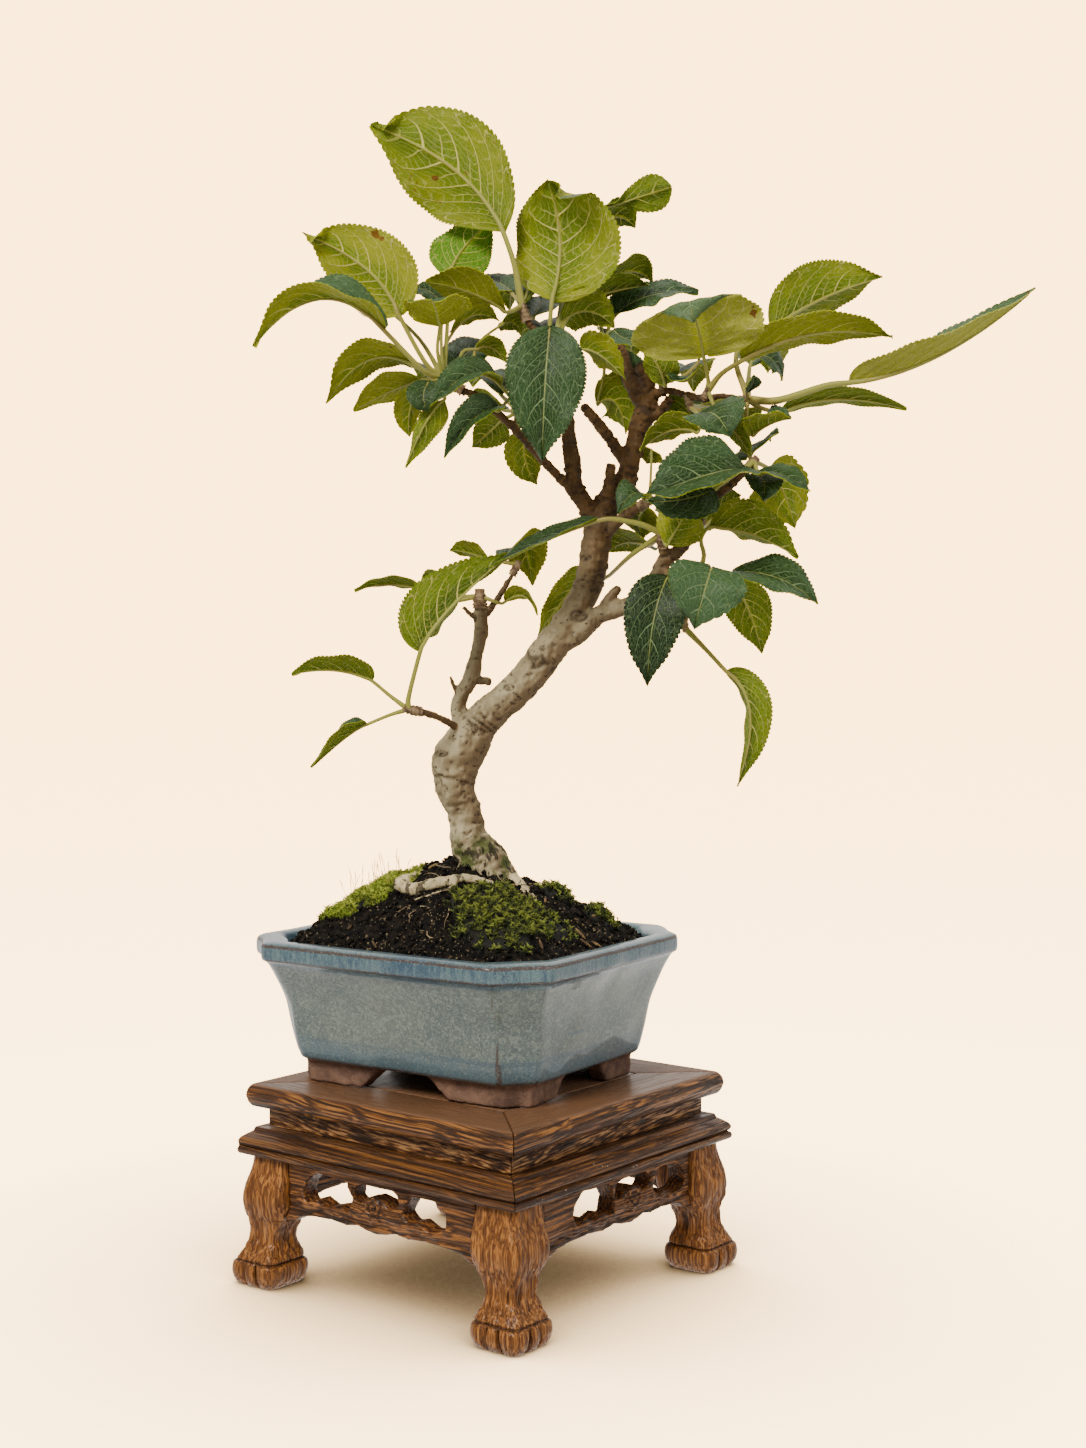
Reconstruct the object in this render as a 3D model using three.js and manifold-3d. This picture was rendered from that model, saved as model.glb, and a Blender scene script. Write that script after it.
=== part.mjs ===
// A crabapple bonsai in a cut-cornered glazed pot on a small square carved wood stand.
// Millimetres, +Z up. The pieces are laid out round the stand's centre on the floor and the whole
// model is then moved so that its origin is the middle of its footprint box.
import * as THREE from "three";
import { mergeVertices } from "three/addons/utils/BufferGeometryUtils.js";
import Module from "manifold-3d";

const wasm = await Module();
wasm.setup();

// ---- driving dimensions -------------------------------------------------------------------------

const GAP = 0.3; // left between two pieces that touch
const TREE_TURN = 38; // degrees from the stand's front face to the plane the tree spreads in

// stand, square in plan: half sizes and heights
const PANEL_HALF = 42.5;
const PANEL_GROOVE = 0.6;
const SLAB_BOTTOM = 71.2;
const SLAB_TOP = 80.4;
const SLAB_EDGE = [[67.2, 71.2], [68.4, 73], [69.1, 75.8], [68.6, 78.2], [67.6, 79.8], [66.5, 80.4]];
const WAIST_EDGE = [[62.4, 63.2], [62.4, 70.9]];
const WAIST_INNER = 38;
const MOULDING_EDGE = [ // a bead, a groove and an ogee above it
  [70.9, 52.4], [71.4, 53.2], [71.5, 54.2], [71.1, 55.1], [69.4, 55.4], [70.6, 55.9], [71.2, 56.8],
  [71.2, 57.8], [70.5, 58.9], [68.6, 60.3], [66.9, 61.3], [66.3, 62.9],
];
const MOULDING_INNER = 50;
const LEG_ROWS = [ // height, outer half size, width
  [0, 71.8, 19], [2.5, 73.2, 21.8], [6, 73.8, 23.2], [9.3, 73.5, 22.6], [11.6, 72, 20.4],
  [15, 69.9, 16.8], [19, 68.5, 14.4],
  [24, 68.8, 16], [30, 70.4, 21], [35, 71, 23.2], [40, 70.2, 22.4], [46, 68.4, 20], [52.1, 67.4, 19],
];
const LEG_CORNER = 0.13; // corner radius as a share of the leg's width
const TOE_HEIGHT = 9.6;
const TOE_GROOVE = 1.3; // depth of the cut between two toes, and half of its width
const TOE_CUTS = [-3.6, 3.6]; // along each side, from the leg's middle
const APRON_FACE = 66;
const APRON_THICKNESS = 8;
const APRON_HALF = 50;
const APRON_EDGE = [ // right half of the lower edge, from the leg to the pendant
  [50, 26.4], [45.4, 28], [41, 30.6], [34, 31.6], [24, 32], [16, 31.2], [9.5, 32.2], [5, 31],
];
const APRON_PENDANT = 30.4;
const MIDDLE_HOLE = [
  [-10.4, 43], [-7, 41.4], [-4, 44.2], [4, 44.2], [7, 41.8], [10.4, 43], [11.2, 46], [8.4, 48], [-6, 48],
  [-9.8, 46.6],
];
const LEFT_HOLE = [
  [-38, 40.4], [-35, 37.6], [-30, 39.4], [-25, 37.4], [-19.6, 38.8], [-14.4, 37.4], [-11.8, 42.6],
  [-16, 47.6], [-31, 48.2], [-36.6, 44.8],
];
const RIGHT_HOLE = [
  [15, 41], [18, 38.4], [22, 39.4], [27, 37.2], [31.5, 37.6], [35, 39.4], [34.4, 44], [29, 47.3],
  [19, 47.4],
];
const CARVING_SHIFT = { front: -1.8, right: 8.5, back: 0, left: 0 }; // the carving sits a little off centre
const ROSETTE_RADIUS = 4.2;
const ROSETTE_HEIGHT = 41;
const ROSETTE_RELIEF = 0.9;

// pot: half sizes along its two sides, size of the cut corner, height
const POT_X = -8.9;
const POT_Y = -1.4;
const POT_TURN = 5; // degrees: the pot stands a little turned on the stand
const CORNER_DENT = 0.8;
const POT_OUTSIDE = [
  [57.1, 46.9, 10.2, 89.5], [58.5, 49, 10.6, 92], [62, 53.7, 12, 112], [64.9, 58.3, 13.2, 122],
  [67.2, 60.9, 14.6, 127], [69, 63, 15.6, 130], [70.8, 64.6, 16.8, 131.2], [71.3, 65.1, 17.2, 136],
  [70.4, 64.2, 17.2, 138],
];
const POT_INSIDE = [
  [63.6, 57.2, 17, 138.4], [62.7, 56.2, 16.5, 134], [60.8, 54, 15, 125], [52.5, 42.5, 11, 97],
];
const DRAIN_RADIUS = 6;
const FOOT_BOTTOM = 80.7;
const FOOT_TOP = 91;
const FOOT_INSET = 2.4;
const FOOT_WALL = 8;
const FOOT_GAP_X = [9.7, 20.7]; // half of the gap between two feet, at its top and at its bottom
const FOOT_GAP_Y = [11.5, 18.5];

// soil: a mound that rises from the pot's inner edge to a peak behind the trunk
const SOIL_EDGE = 134;
const SOIL_PEAK = 171;
const PEAK_ACROSS = -12;
const PEAK_BACK = 8;
const SOIL_CORNERS = 5; // how squarely the mound fills the pot's corners
const SOIL_ROUNDING = 0.82;
const SOIL_RINGS = [0.84, 0.64, 0.44, 0.22];
const SOIL_SEAT = 0.45; // the soil stands clear of the pot's wall by this much
const MOSS_POINTS = 11;
const MOSS_SECTION = [[0.35, 1], [0.78, 0.7], [1, 0]]; // shares of the radius and of the height
const MOSS_EDGE = 0.9; // height of the cushion's edge over the soil
const MOSS_DEPTH = 3; // how far the cushion reaches down before it is cut along the soil
const MOSS = [ // name, place in the tree's frame, radii, height of the cushion
  ["moss_left", -48, 5, 19, 16, 3.2],
  ["moss_front", 7, -33, 22, 22, 3.6],
  ["moss_right", 29, 5, 7, 9, 2],
  ["moss_far_right", 47, 2, 6, 7, 1.6],
];

// leaves
const BLADE_THICKNESS = 0.8;
const LEAF_LENGTHS = [24, 42, 62]; // a leaf has two teeth a side, and one more past each length
const STALK_RADIUS = 1;
const STALK_TAPER = 0.85; // the stalk's radius past its start, as a share
const STALK_END = 0.5; // half of the stalk's width where the blade begins
const STALK_START = 0.35; // how far from the hub's middle a stalk starts, as a share of the spur's radius
const TOOTH_PLACE = [0.28, 1.03]; // a tooth's place in its step along the margin, and its reach
const NOTCH_PLACE = [0.52, 0.93];
const MARGIN_WAVE = 0.02; // height of the margin's waves as a share of the width

// ---- the grown wood: rows of across, back, up, radius in the tree's frame ------------------------
// The points follow the trunk and each limb, chosen by hand.

const LIMBS = {
  trunk: [
    [0.9, 5, 151, 12.9], [-0.7, 5, 159.1, 12.3], [-4, 5, 168.9, 10.1],
    [-8, 5, 177.1, 7.5], [-9.6, 5, 188, 7.1], [-12.8, 4, 196.6, 8.3],
    [-13.2, 4, 203.9, 9.5], [-10.7, 3, 211.7, 10.1], [-7.1, 2, 217.8, 9.3],
    [-3, 1, 224.3, 7.8], [3.4, 0, 230, 6.8], [12.7, -2, 238.1, 6.6],
    [21.5, -4, 249.4, 6.8], [30.3, -5, 261.3, 6.2], [37.9, -5, 273.7, 5.8],
    [41.5, -5, 282.8, 6.2], [43.5, -5, 297.1, 5.8], [46.7, -5, 309, 5.6],
    [50.3, -4, 315, 5.2], [54.7, -3, 319.4, 4.6], [57.2, -2, 328.6, 4],
    [60, -1, 339.4, 4], [62.8, -1, 347.4, 4.8], [65.2, -1, 354.1, 3.8],
  ],
  small_trunk: [
    [-7.9, 3, 216.1, 4.8], [-11.6, 4, 227, 3.4], [-10.8, 4, 234.3, 3],
    [-6.7, 3, 242.4, 3.4], [-3.9, 2, 253.3, 2.6], [-2.6, 1, 260.9, 3], [-3, 0, 270.9, 2.6],
  ],
  small_trunk_stub: [
    [-6.3, 3, 241.2, 1.8], [1.4, 0, 240.5, 1.8],
  ],
  small_trunk_sliver: [
    [-11.6, 4, 232.3, 1.2], [-15.2, 3, 243.2, 0.8],
  ],
  inner_twig: [
    [-1.8, 1, 266.1, 1.6], [4.3, -1, 274.1, 1.4], [10.3, -3, 283.7, 1],
  ],
  inner_sliver: [
    [-3.4, 0, 264.5, 1.2], [-9.7, -4, 270.5, 1],
  ],
  low_left_twig: [
    [-7.9, 2, 219.4, 1.8], [-18.5, -12, 226.5, 1.4], [-26.7, -20, 229.6, 1.6],
  ],
  front_limb: [
    [42.6, -6, 303.4, 3.6], [38.6, -7, 311.7, 3.4], [35, -8, 319.1, 3.2],
    [33.8, -9, 328.1, 3.4], [32.6, -10, 336.7, 3], [31.8, -10, 346.1, 2.4],
    [29.8, -11, 359.7, 2], [27.8, -12, 368.2, 1.6],
  ],
  crown_twig: [
    [29, -12, 363.5, 1.6], [22.3, -8, 375, 1.4], [15.9, -8, 383.6, 1.4],
  ],
  left_limb: [
    [37, -8, 312, 2.4], [31.4, -11, 318.9, 2], [25.1, -16, 324.9, 1.8],
    [18.4, -21, 331.9, 1.8], [11.8, -25, 338.9, 1.8], [4.8, -28, 345.1, 1.6],
    [-2.1, -30, 350.7, 1.7], [-9, -31, 353.6, 1.5],
  ],
  sawn_limb: [
    [56.4, -1, 326.7, 2.8], [49.3, 3, 337.4, 2.4], [43.4, 9, 345.9, 2.2],
    [38.6, 14, 352, 2],
  ],
  fork_stub: [
    [47.8, -8, 310.4, 2.4], [48.4, -12, 319.7, 2.2], [49.2, -14, 326.6, 2],
  ],
  upper_limb: [
    [64.5, 0, 350.2, 3.6], [60.1, 2, 355.6, 3.6], [56.2, 5, 364.7, 3], [53.5, 8, 373, 2.6],
    [52.3, 9, 378.8, 2.4],
  ],
  upper_stub: [
    [53.8, 6, 366.4, 1.8], [49.4, 5, 371.1, 1.6],
  ],
  top_stub: [
    [65.6, -2, 352, 2.8], [63, -6, 361.1, 2.6], [60, -9, 366.2, 2.2],
  ],
  right_stub: [
    [66.4, -2, 345.7, 2.2], [73.3, -6, 352.8, 1.8],
  ],
  right_twig: [
    [64.4, -2, 352.8, 2], [70.4, -8, 355.7, 1.6], [77.7, -18, 353.5, 1.4],
    [84.7, -25, 350.8, 1.4], [91.7, -29, 351.6, 1.2], [97.4, -31, 349.4, 1.2],
  ],
  ring_twig: [
    [47.4, -7, 300.2, 2.6], [55.2, -12, 306.7, 2.2], [60.6, -15, 310.1, 1.8],
  ],
  right_limb: [
    [28.5, -5, 254.6, 3.6], [37, -8, 260.6, 4.3], [43.7, -11, 266.9, 3.8],
    [50.3, -14, 269.3, 3.6], [57.3, -17, 271.6, 3.1], [64.2, -21, 278.6, 2.9],
    [69.1, -25, 287.8, 2.9], [74, -27, 291.3, 2.7], [78.6, -29, 297, 2.5],
    [81.9, -31, 303.1, 2.3], [86.4, -33, 310.6, 1.9], [94.3, -35, 317, 1.7],
    [99.9, -37, 322.6, 1.5],
  ],
  right_limb_stub: [
    [45.7, -12, 270.1, 2.2], [52.2, -16, 278.3, 1.8],
  ],
  bud_knob: [
    [69.8, -26, 288.6, 2.5], [68.5, -29, 294.3, 1.7],
  ],
  hanging_twig: [
    [69.4, -26, 286.3, 1.6], [73.2, -28, 276.9, 1.2], [76.9, -31, 266.1, 1],
  ],
};
const LIMB_SIDES = { trunk: 10, small_trunk: 7, right_limb: 7, front_limb: 6 };
const TWIG_SIDES = 5;
const SPUR_SIDES = 5;
const FLARE_TOP = 172; // the trunk spreads into root lobes below this height
const FLARE_DEPTH = 16;
const FLARE_LOBES = 0.13; // height of the lobes as a share of the trunk's radius
const TRUNK_UNEVEN = 0.05;

// surface roots, which dive under the soil and come up again
const ROOTS = [ // across, back, height over the soil, radius
  [
    [-8, 6, -3, 3], [-18, 5, -3.4, 2.6], [-27, 2, -2, 2.6], [-33, -2, 0.8, 2.9], [-35, -6, 1.6, 2.8],
    [-29, -10, 1.8, 2.6], [-19, -12.5, 1.6, 2.3], [-9, -13.5, 1.4, 1.9], [0, -13, 1, 1.4],
    [7, -12, 0.4, 0.8],
  ],
  [[9, 2, 1, 3.2], [15, -3, 0.8, 2], [20, -10, 0, 1.2]],
];

// ---- the leafy shoots: seat on the wood, hub, spur radius and leaves ------------------------------
// A leaf has its base, middle and tip, its width, the fold of its halves in degrees and the way its
// upper side faces. All chosen by hand in the tree's frame: across, back, up.

function leaf(base, mid, tip, width, fold, face, more = {}) {
  return { base, mid, tip, width, fold, face, via: [], endFace: face, belly: 0.42, ...more };
}

const SHOOTS = {
  crown_top: {
    seat: [15.9, -8, 383],
    hub: [14, -8, 389],
    radius: 2.2,
    leaves: [
      leaf([7, -8, 418], [-13, 0, 444], [-47, 6, 463], 46, 8, [0.1, 0.95, 0.3],
        { via: [[11, -9, 405]], belly: 0.56 }),
      leaf([8, -16, 386], [-6, -26, 392], [-23, -30, 395], 24, 10, [0, 0.5, 0.86], { belly: 0.62 }),
      leaf([10, 2, 396], [4, 14, 402], [-4, 20, 405], 16, 8, [0, -0.6, 0.8]),
      leaf([15, 0, 391], [17, 8, 399], [18, 12, 406], 12, 10, [0.7, 0.7, 0]),
      leaf([18, 8, 387], [21, 22, 394], [21, 34, 399], 18, 10, [0, -0.6, 0.8]),
      leaf([12, 10, 396], [10, 32, 404], [8, 54, 396], 24, 14, [0, 0, 1]),
    ],
  },
  crown_front: {
    seat: [27.8, -12, 367.5],
    hub: [27, -13, 372.5],
    radius: 2.4,
    leaves: [
      leaf([26, -15, 390], [29, -6, 415], [24, -14, 437], 53, 20, [0.12, 0.97, 0.15],
        { via: [[25, -15, 379]], belly: 0.5 }),
      leaf([25, -30, 378], [23, -38, 354], [22, -36, 326], 33, 8, [0.05, -0.98, 0.15],
        { via: [[26, -24, 376]] }),
      leaf([36, 2, 392], [50, 12, 398], [66, 22, 402], 20, 14, [0, 0.45, 0.9], { via: [[31, -6, 383]] }),
      leaf([46, 18, 401], [58, 30, 409], [68, 36, 405], 20, 12, [0, 0.55, 0.83], { via: [[34, 8, 392]] }),
      leaf([37, 22, 431], [54, 26, 436], [75, 24, 442], 17, 10, [0, -0.35, 0.94],
        { via: [[32, 14, 407]], endFace: [0.1, 0.95, 0.25], belly: 0.76 }),
      leaf([43, 32, 427], [53, 40, 433], [61, 44, 429], 20, 10, [0, 0.7, 0.7], { via: [[33, 14, 399]] }),
      leaf([29, -6, 383], [40, -2, 388], [51, 2, 382], 22, 10, [0.1, 0.8, 0.6]),
      leaf([37, -12, 372], [45, -15, 369], [55, -16, 359], 20, 14, [0.2, 0.55, 0.8],
        { via: [[31, -12, 373]] }),
      leaf([25, 12, 380], [20, 32, 388], [16, 54, 380], 26, 14, [0, 0, 1]),
      leaf([34, 24, 396], [44, 40, 408], [52, 58, 404], 22, 14, [0, 0, 1]),
    ],
  },
  left_hub: {
    seat: [-8.5, -31, 353.3],
    hub: [-16, -31, 358],
    radius: 2.3,
    leaves: [
      leaf([-32, -38, 381], [-45, -36, 399], [-70, -34, 413], 35, 8, [0.15, 0.92, 0.35],
        { via: [[-23, -34, 364]] }),
      leaf([-40, -2, 390], [-55, 8, 399], [-67, 14, 399], 20, 8, [0, 0.6, 0.8], { via: [[-26, -16, 375]] }),
      leaf([-37, -46, 375], [-61, -56, 385], [-86, -54, 367], 26, 30, [0, -0.55, 0.83],
        { via: [[-23, -38, 360]], endFace: [0, 0.25, 0.97] }),
      leaf([-27, -26, 364], [-46, -18, 367], [-63, -14, 350], 22, 8, [0, 0.5, 0.86]),
      leaf([-25, -22, 359], [-39, -12, 355], [-53, -6, 348], 19, 10, [0, 0.45, 0.9]),
      leaf([-21, -40, 356], [-23, -44, 350], [-21, -44, 344], 14, 8, [-0.1, -0.95, 0.2]),
      leaf([-26, -24, 356], [-30, -18, 347], [-30, -16, 337], 14, 14, [-0.5, 0.85, 0.1]),
      leaf([-15, -40, 349], [-22, -42, 340], [-30, -40, 323], 14, 36, [0.4, 0.9, 0.1],
        { via: [[-16, -36, 353]] }),
      leaf([-17, -38, 377], [-18, -46, 382], [-19, -58, 384], 28, 16, [0, 0.5, 0.86],
        { via: [[-18, -36, 368]] }),
      leaf([-15, -2, 402], [-9, 8, 415], [3, 12, 427], 26, 8, [0.3, 0.9, 0.2], { via: [[-15, -20, 378]] }),
      leaf([-17, -16, 389], [-23, -10, 395], [-29, -6, 396], 12, 10, [0, -0.7, 0.7],
        { via: [[-17, -26, 373]] }),
      leaf([-14, -12, 378], [-5, -6, 386], [5, -1, 384], 14, 10, [0, 0.55, 0.83],
        { via: [[-16, -24, 370]] }),
      leaf([6, -4, 383], [10, 0, 384], [14, 2, 380], 14, 10, [0, 0.7, 0.7],
        { via: [[-7, -22, 361], [-3, -12, 374]] }),
      leaf([-12, -14, 363], [-5, -2, 373], [8, 6, 372], 21, 8, [0, -0.6, 0.8]),
      leaf([-4, -20, 371], [2, -16, 372], [8, -14, 366], 12, 8, [0, 0.55, 0.8],
        { via: [[-11, -28, 360], [-9, -24, 369]] }),
      leaf([-20, -10, 362], [-22, 8, 366], [-26, 26, 360], 18, 14, [0, 0, 1]),
    ],
  },
  left_inner: {
    seat: [11.8, -25, 338.9],
    hub: [13, -16, 347],
    radius: 1.7,
    leaves: [
      leaf([6, -34, 356], [-6, -44, 358], [-20, -50, 345], 18, 24, [0, -0.65, 0.75],
        { via: [[10, -26, 351]] }),
      leaf([6, -36, 346], [-4, -48, 341], [-15, -52, 326], 16, 40, [0.1, -0.75, 0.65],
        { via: [[10, -27, 351]] }),
      leaf([6, -10, 344], [1, -4, 340], [-6, 0, 334], 16, 8, [0.2, 0.9, 0.4]),
      leaf([7, -4, 349], [0, 6, 353], [-9, 12, 346], 16, 10, [0, 0.65, 0.75]),
      leaf([16, -6, 341], [15, -2, 330], [20, -4, 319], 17, 8, [-0.1, 0.98, 0]),
      leaf([6, 8, 356], [-2, 28, 366], [-8, 50, 364], 20, 14, [0, 0, 1]),
    ],
  },
  upper_mid: {
    seat: [49.8, 5, 370.7],
    hub: [46.5, 4, 374],
    radius: 2.3,
    leaves: [
      leaf([51, 16, 389], [67, 22, 398], [86, 22, 399], 26, 10, [0, -0.5, 0.86], { via: [[48, 10, 381]] }),
      leaf([50, -6, 380], [58, -12, 375], [67, -14, 377], 15, 8, [0, -0.6, 0.8], { via: [[48, 0, 379]] }),
      leaf([44, 20, 354], [52, 20, 354], [56, 20, 341], 26, 20, [0.2, 0.75, 0.6], { via: [[47, 14, 365]] }),
      leaf([57, 26, 359], [54, 28, 360], [50, 28, 359], 8, 8, [0, 0.5, 0.85], { via: [[52, 22, 366]] }),
      leaf([52, 20, 378], [58, 42, 384], [60, 64, 376], 26, 14, [0, 0, 1]),
      leaf([46, 24, 387], [44, 46, 396], [42, 66, 392], 24, 14, [0, 0, 1]),
    ],
  },
  upper_right: {
    seat: [70.4, -8, 355.7],
    hub: [68, -10, 361],
    radius: 1.8,
    leaves: [
      leaf([70, -16, 357], [67, -22, 364], [61, -22, 372], 16, 20, [0.35, 0.85, 0.3]),
      leaf([62, 6, 357], [59, 12, 366], [56, 15, 375], 14, 10, [-0.6, -0.75, 0.2]),
      leaf([84, -8, 368], [75, -2, 375], [65, 2, 375], 20, 10, [0, -0.7, 0.7], { via: [[77, -10, 361]] }),
      leaf([71, -20, 361], [78, -26, 358], [83, -28, 364], 9, 10, [0, -0.4, 0.9]),
      leaf([74, 6, 362], [82, 30, 370], [86, 54, 362], 26, 14, [0, 0, 1]),
    ],
  },
  right_mid: {
    seat: [84.7, -25, 350.8],
    hub: [86, -27, 354],
    radius: 1.7,
    leaves: [
      leaf([84, -33, 366], [76, -48, 379], [69, -64, 367], 54, 4, [0, 0.35, 0.94],
        { via: [[86, -28, 358]], belly: 0.45 }),
      leaf([98, -35, 365], [126, -44, 374], [155, -42, 372], 25, 10, [0, 0.42, 0.9],
        { via: [[91, -30, 360]] }),
      leaf([94, -32, 340], [98, -34, 335], [102, -34, 328], 10, 10, [0.3, 0.6, 0.7],
        { via: [[89, -30, 346]] }),
    ],
  },
  right_tip: {
    seat: [96.8, -31, 349.6],
    hub: [101, -32, 350],
    radius: 1.9,
    leaves: [
      leaf([111, -20, 379], [133, -12, 392], [156, -10, 400], 32, 28, [-0.42, 0.75, 0.5],
        { via: [[97, -26, 368]] }),
      leaf([138, -44, 356], [171, -50, 365], [209, -42, 391], 26, 34, [0, 0.12, 0.99],
        { via: [[112, -38, 349], [129, -42, 354]], endFace: [0, -0.2, 0.98] }),
      leaf([114, -28, 346], [137, -26, 351], [164, -22, 347], 17, 10, [0, 0.4, 0.9],
        { via: [[106, -30, 347]] }),
      leaf([105, -12, 369], [113, -8, 368], [117, -4, 360], 19, 10, [0.1, -0.75, 0.65],
        { via: [[102, -20, 359]] }),
      leaf([100, -40, 352], [102, -44, 355], [102, -44, 358], 8, 10, [0.6, -0.7, 0]),
      leaf([102, -38, 336], [109, -44, 340], [116, -48, 341], 24, 28, [0, -0.25, 0.97],
        { via: [[100, -36, 339]] }),
      leaf([98, -24, 346], [102, -16, 344], [101, -10, 339], 14, 10, [0, 0.8, 0.5]),
      leaf([104, -6, 366], [112, 14, 372], [116, 34, 368], 22, 14, [0, 0, 1]),
    ],
  },
  under_twig: {
    seat: [78.6, -19, 353.3],
    hub: [80, -19, 348],
    radius: 1.7,
    leaves: [
      leaf([83, -32, 344], [88, -42, 343], [93, -46, 334], 28, 10, [0.1, -0.85, 0.5]),
      leaf([86, -4, 343], [78, 2, 348], [69, 6, 343], 24, 10, [0, 0.6, 0.8], { via: [[83, -10, 348]] }),
      leaf([83, -20, 339], [71, -20, 339], [60, -20, 331], 18, 14, [0, 0.5, 0.86],
        { via: [[84, -20, 346]] }),
      leaf([86, 6, 352], [94, 28, 352], [100, 50, 344], 24, 14, [0, 0, 1]),
    ],
  },
  branch_end: {
    seat: [99.5, -37, 322.1],
    hub: [103, -37, 326],
    radius: 2.2,
    leaves: [
      leaf([99, -44, 323], [82, -56, 320], [60, -56, 311], 35, 4, [-0.05, -0.85, 0.5]),
      leaf([87, -42, 315], [76, -47, 311], [62, -47, 310], 24, 8, [0, -0.85, 0.5],
        { via: [[96, -40, 321]] }),
      leaf([104, -44, 321], [112, -52, 320], [122, -58, 313], 15, 12, [0.1, -0.5, 0.86]),
      leaf([110, -26, 324], [116, -20, 315], [121, -20, 301], 30, 12, [-0.25, 0.9, -0.2]),
      leaf([104, -38, 321], [106, -46, 317], [105, -50, 310], 16, 10, [0.1, -0.9, 0.3]),
      leaf([102, -26, 328], [106, -14, 333], [112, -2, 337], 26, 10, [0, 0.65, 0.75]),
      leaf([100, -12, 322], [92, 12, 322], [86, 34, 312], 24, 14, [0, 0, 1]),
    ],
  },
  ring_stub: {
    seat: [60.2, -15, 309.8],
    hub: [64, -17, 312],
    radius: 2.3,
    leaves: [
      leaf([62, -26, 312], [57, -32, 314], [51, -34, 306], 16, 12, [0, -0.6, 0.8]),
      leaf([66, 0, 333], [65, 4, 331], [64, 6, 328], 12, 8, [0.3, 0.9, 0.2], { via: [[65, -6, 321]] }),
      leaf([63, -4, 310], [61, 6, 305], [63, 12, 298], 20, 10, [0.3, 0.9, 0.1]),
    ],
  },
  bud_hub: {
    seat: [68.6, -28.6, 293.6],
    hub: [68, -31, 298.5],
    radius: 2.3,
    leaves: [
      leaf([70, -34, 294], [75, -40, 303], [79, -40, 310], 22, 20, [0.35, 0.85, 0.4]),
      leaf([74, -22, 303], [79, -12, 310], [84, -4, 314], 16, 10, [-0.2, -0.8, 0.55]),
      leaf([64, -10, 295], [56, 7, 297], [49, 16, 293], 22, 10, [0, 0.75, 0.65], { via: [[65, -22, 295]] }),
      leaf([41, 18, 285], [32, 24, 275], [20, 22, 259], 18, 20, [0.6, 0.6, 0.5],
        { via: [[56, -22, 290], [47, 12, 282]] }),
      leaf([43, -36, 304], [23, -34, 296], [1, -28, 285], 14, 18, [0, -0.4, 0.92],
        { via: [[60, -34, 302], [49, -36, 304]] }),
      leaf([76, -8, 302], [78, 12, 308], [76, 34, 302], 22, 14, [0, 0, 1]),
    ],
  },
  branch_side: {
    seat: [81.9, -31, 303.1],
    hub: [84, -27, 303],
    radius: 1.6,
    leaves: [
      leaf([85, -20, 302], [93, -10, 310], [101, -6, 315], 20, 12, [0, 0.75, 0.65]),
    ],
  },
  hanging_end: {
    seat: [76.7, -30.8, 266.8],
    hub: [77.2, -32, 262],
    radius: 1.6,
    leaves: [
      leaf([93, -36, 246], [102, -40, 229], [97, -36, 201], 20, 14, [0.75, 0.6, 0.1],
        { via: [[85, -34, 254]] }),
    ],
  },
  hanging_mid: {
    seat: [73.2, -28, 276.9],
    hub: [75.5, -30, 275],
    radius: 1.8,
    leaves: [
      leaf([86, -48, 285], [83, -56, 277], [79, -54, 262], 32, 8, [0.05, -0.95, 0.3],
        { via: [[82, -40, 282]] }),
      leaf([70, -42, 282], [64, -50, 265], [62, -46, 240], 25, 10, [-0.1, -0.97, 0.15],
        { via: [[70, -38, 279]] }),
      leaf([95, -36, 284], [112, -46, 280], [126, -50, 271], 24, 30, [0.1, -0.3, 0.95],
        { via: [[87, -34, 280]] }),
      leaf([97, -22, 280], [104, -14, 268], [109, -12, 252], 20, 12, [0.2, 0.95, 0.1],
        { via: [[88, -26, 278]] }),
      leaf([86, -36, 301], [102, -40, 298], [120, -40, 289], 27, 26, [0.1, 0.8, 0.6],
        { via: [[84, -32, 288], [83, -34, 296]] }),
      leaf([74, -8, 276], [72, 14, 272], [70, 36, 260], 24, 14, [0, 0, 1]),
    ],
  },
  low_left: {
    seat: [-26, -19.6, 229.4],
    hub: [-30.5, -22.5, 230.4],
    radius: 2.1,
    leaves: [
      leaf([-26, -27, 253], [-14, -26, 270], [10, -16, 292], 34, 40, [-0.45, 0.7, 0.53],
        { via: [[-30, -24, 236]] }),
      leaf([-44, -23, 242], [-59, -26, 246], [-76, -24, 244], 20, 28, [0, 0.25, 0.97],
        { via: [[-38, -22, 236]] }),
      leaf([-47, -20, 225], [-56, -20, 219], [-69, -18, 207], 17, 30, [0.1, -0.1, 0.99],
        { via: [[-38, -20, 228]] }),
    ],
  },
  inner_top: {
    seat: [10, -3, 283],
    hub: [12, -3, 287.5],
    radius: 1.7,
    leaves: [
      leaf([6, -4, 289], [14, 4, 294], [18, 8, 279], 24, 12, [0.2, 0.85, 0.5], { via: [[8, -4, 288]] }),
      leaf([0, 10, 290], [-8, 16, 293], [-16, 20, 294], 14, 10, [0, 0.65, 0.75], { via: [[5, 4, 289]] }),
    ],
  },
  inner_low: {
    seat: [-3, 0, 270],
    hub: [-3, 0, 275],
    radius: 3.2,
    leaves: [
      leaf([7, -6, 273], [15, -10, 275], [20, -12, 267], 11, 10, [0, 0.5, 0.85], { via: [[5, -4, 272]] }),
      leaf([-25, 0, 277], [-39, 4, 280], [-54, 6, 277], 13, 10, [0, 0.35, 0.94], { via: [[-14, -2, 273]] }),
      leaf([-15, 14, 276], [-21, 22, 281], [-29, 26, 280], 16, 10, [0, 0.6, 0.8], { via: [[-10, 8, 275]] }),
    ],
  },
};

// ---- small helpers ---------------------------------------------------------------------------------

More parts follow.
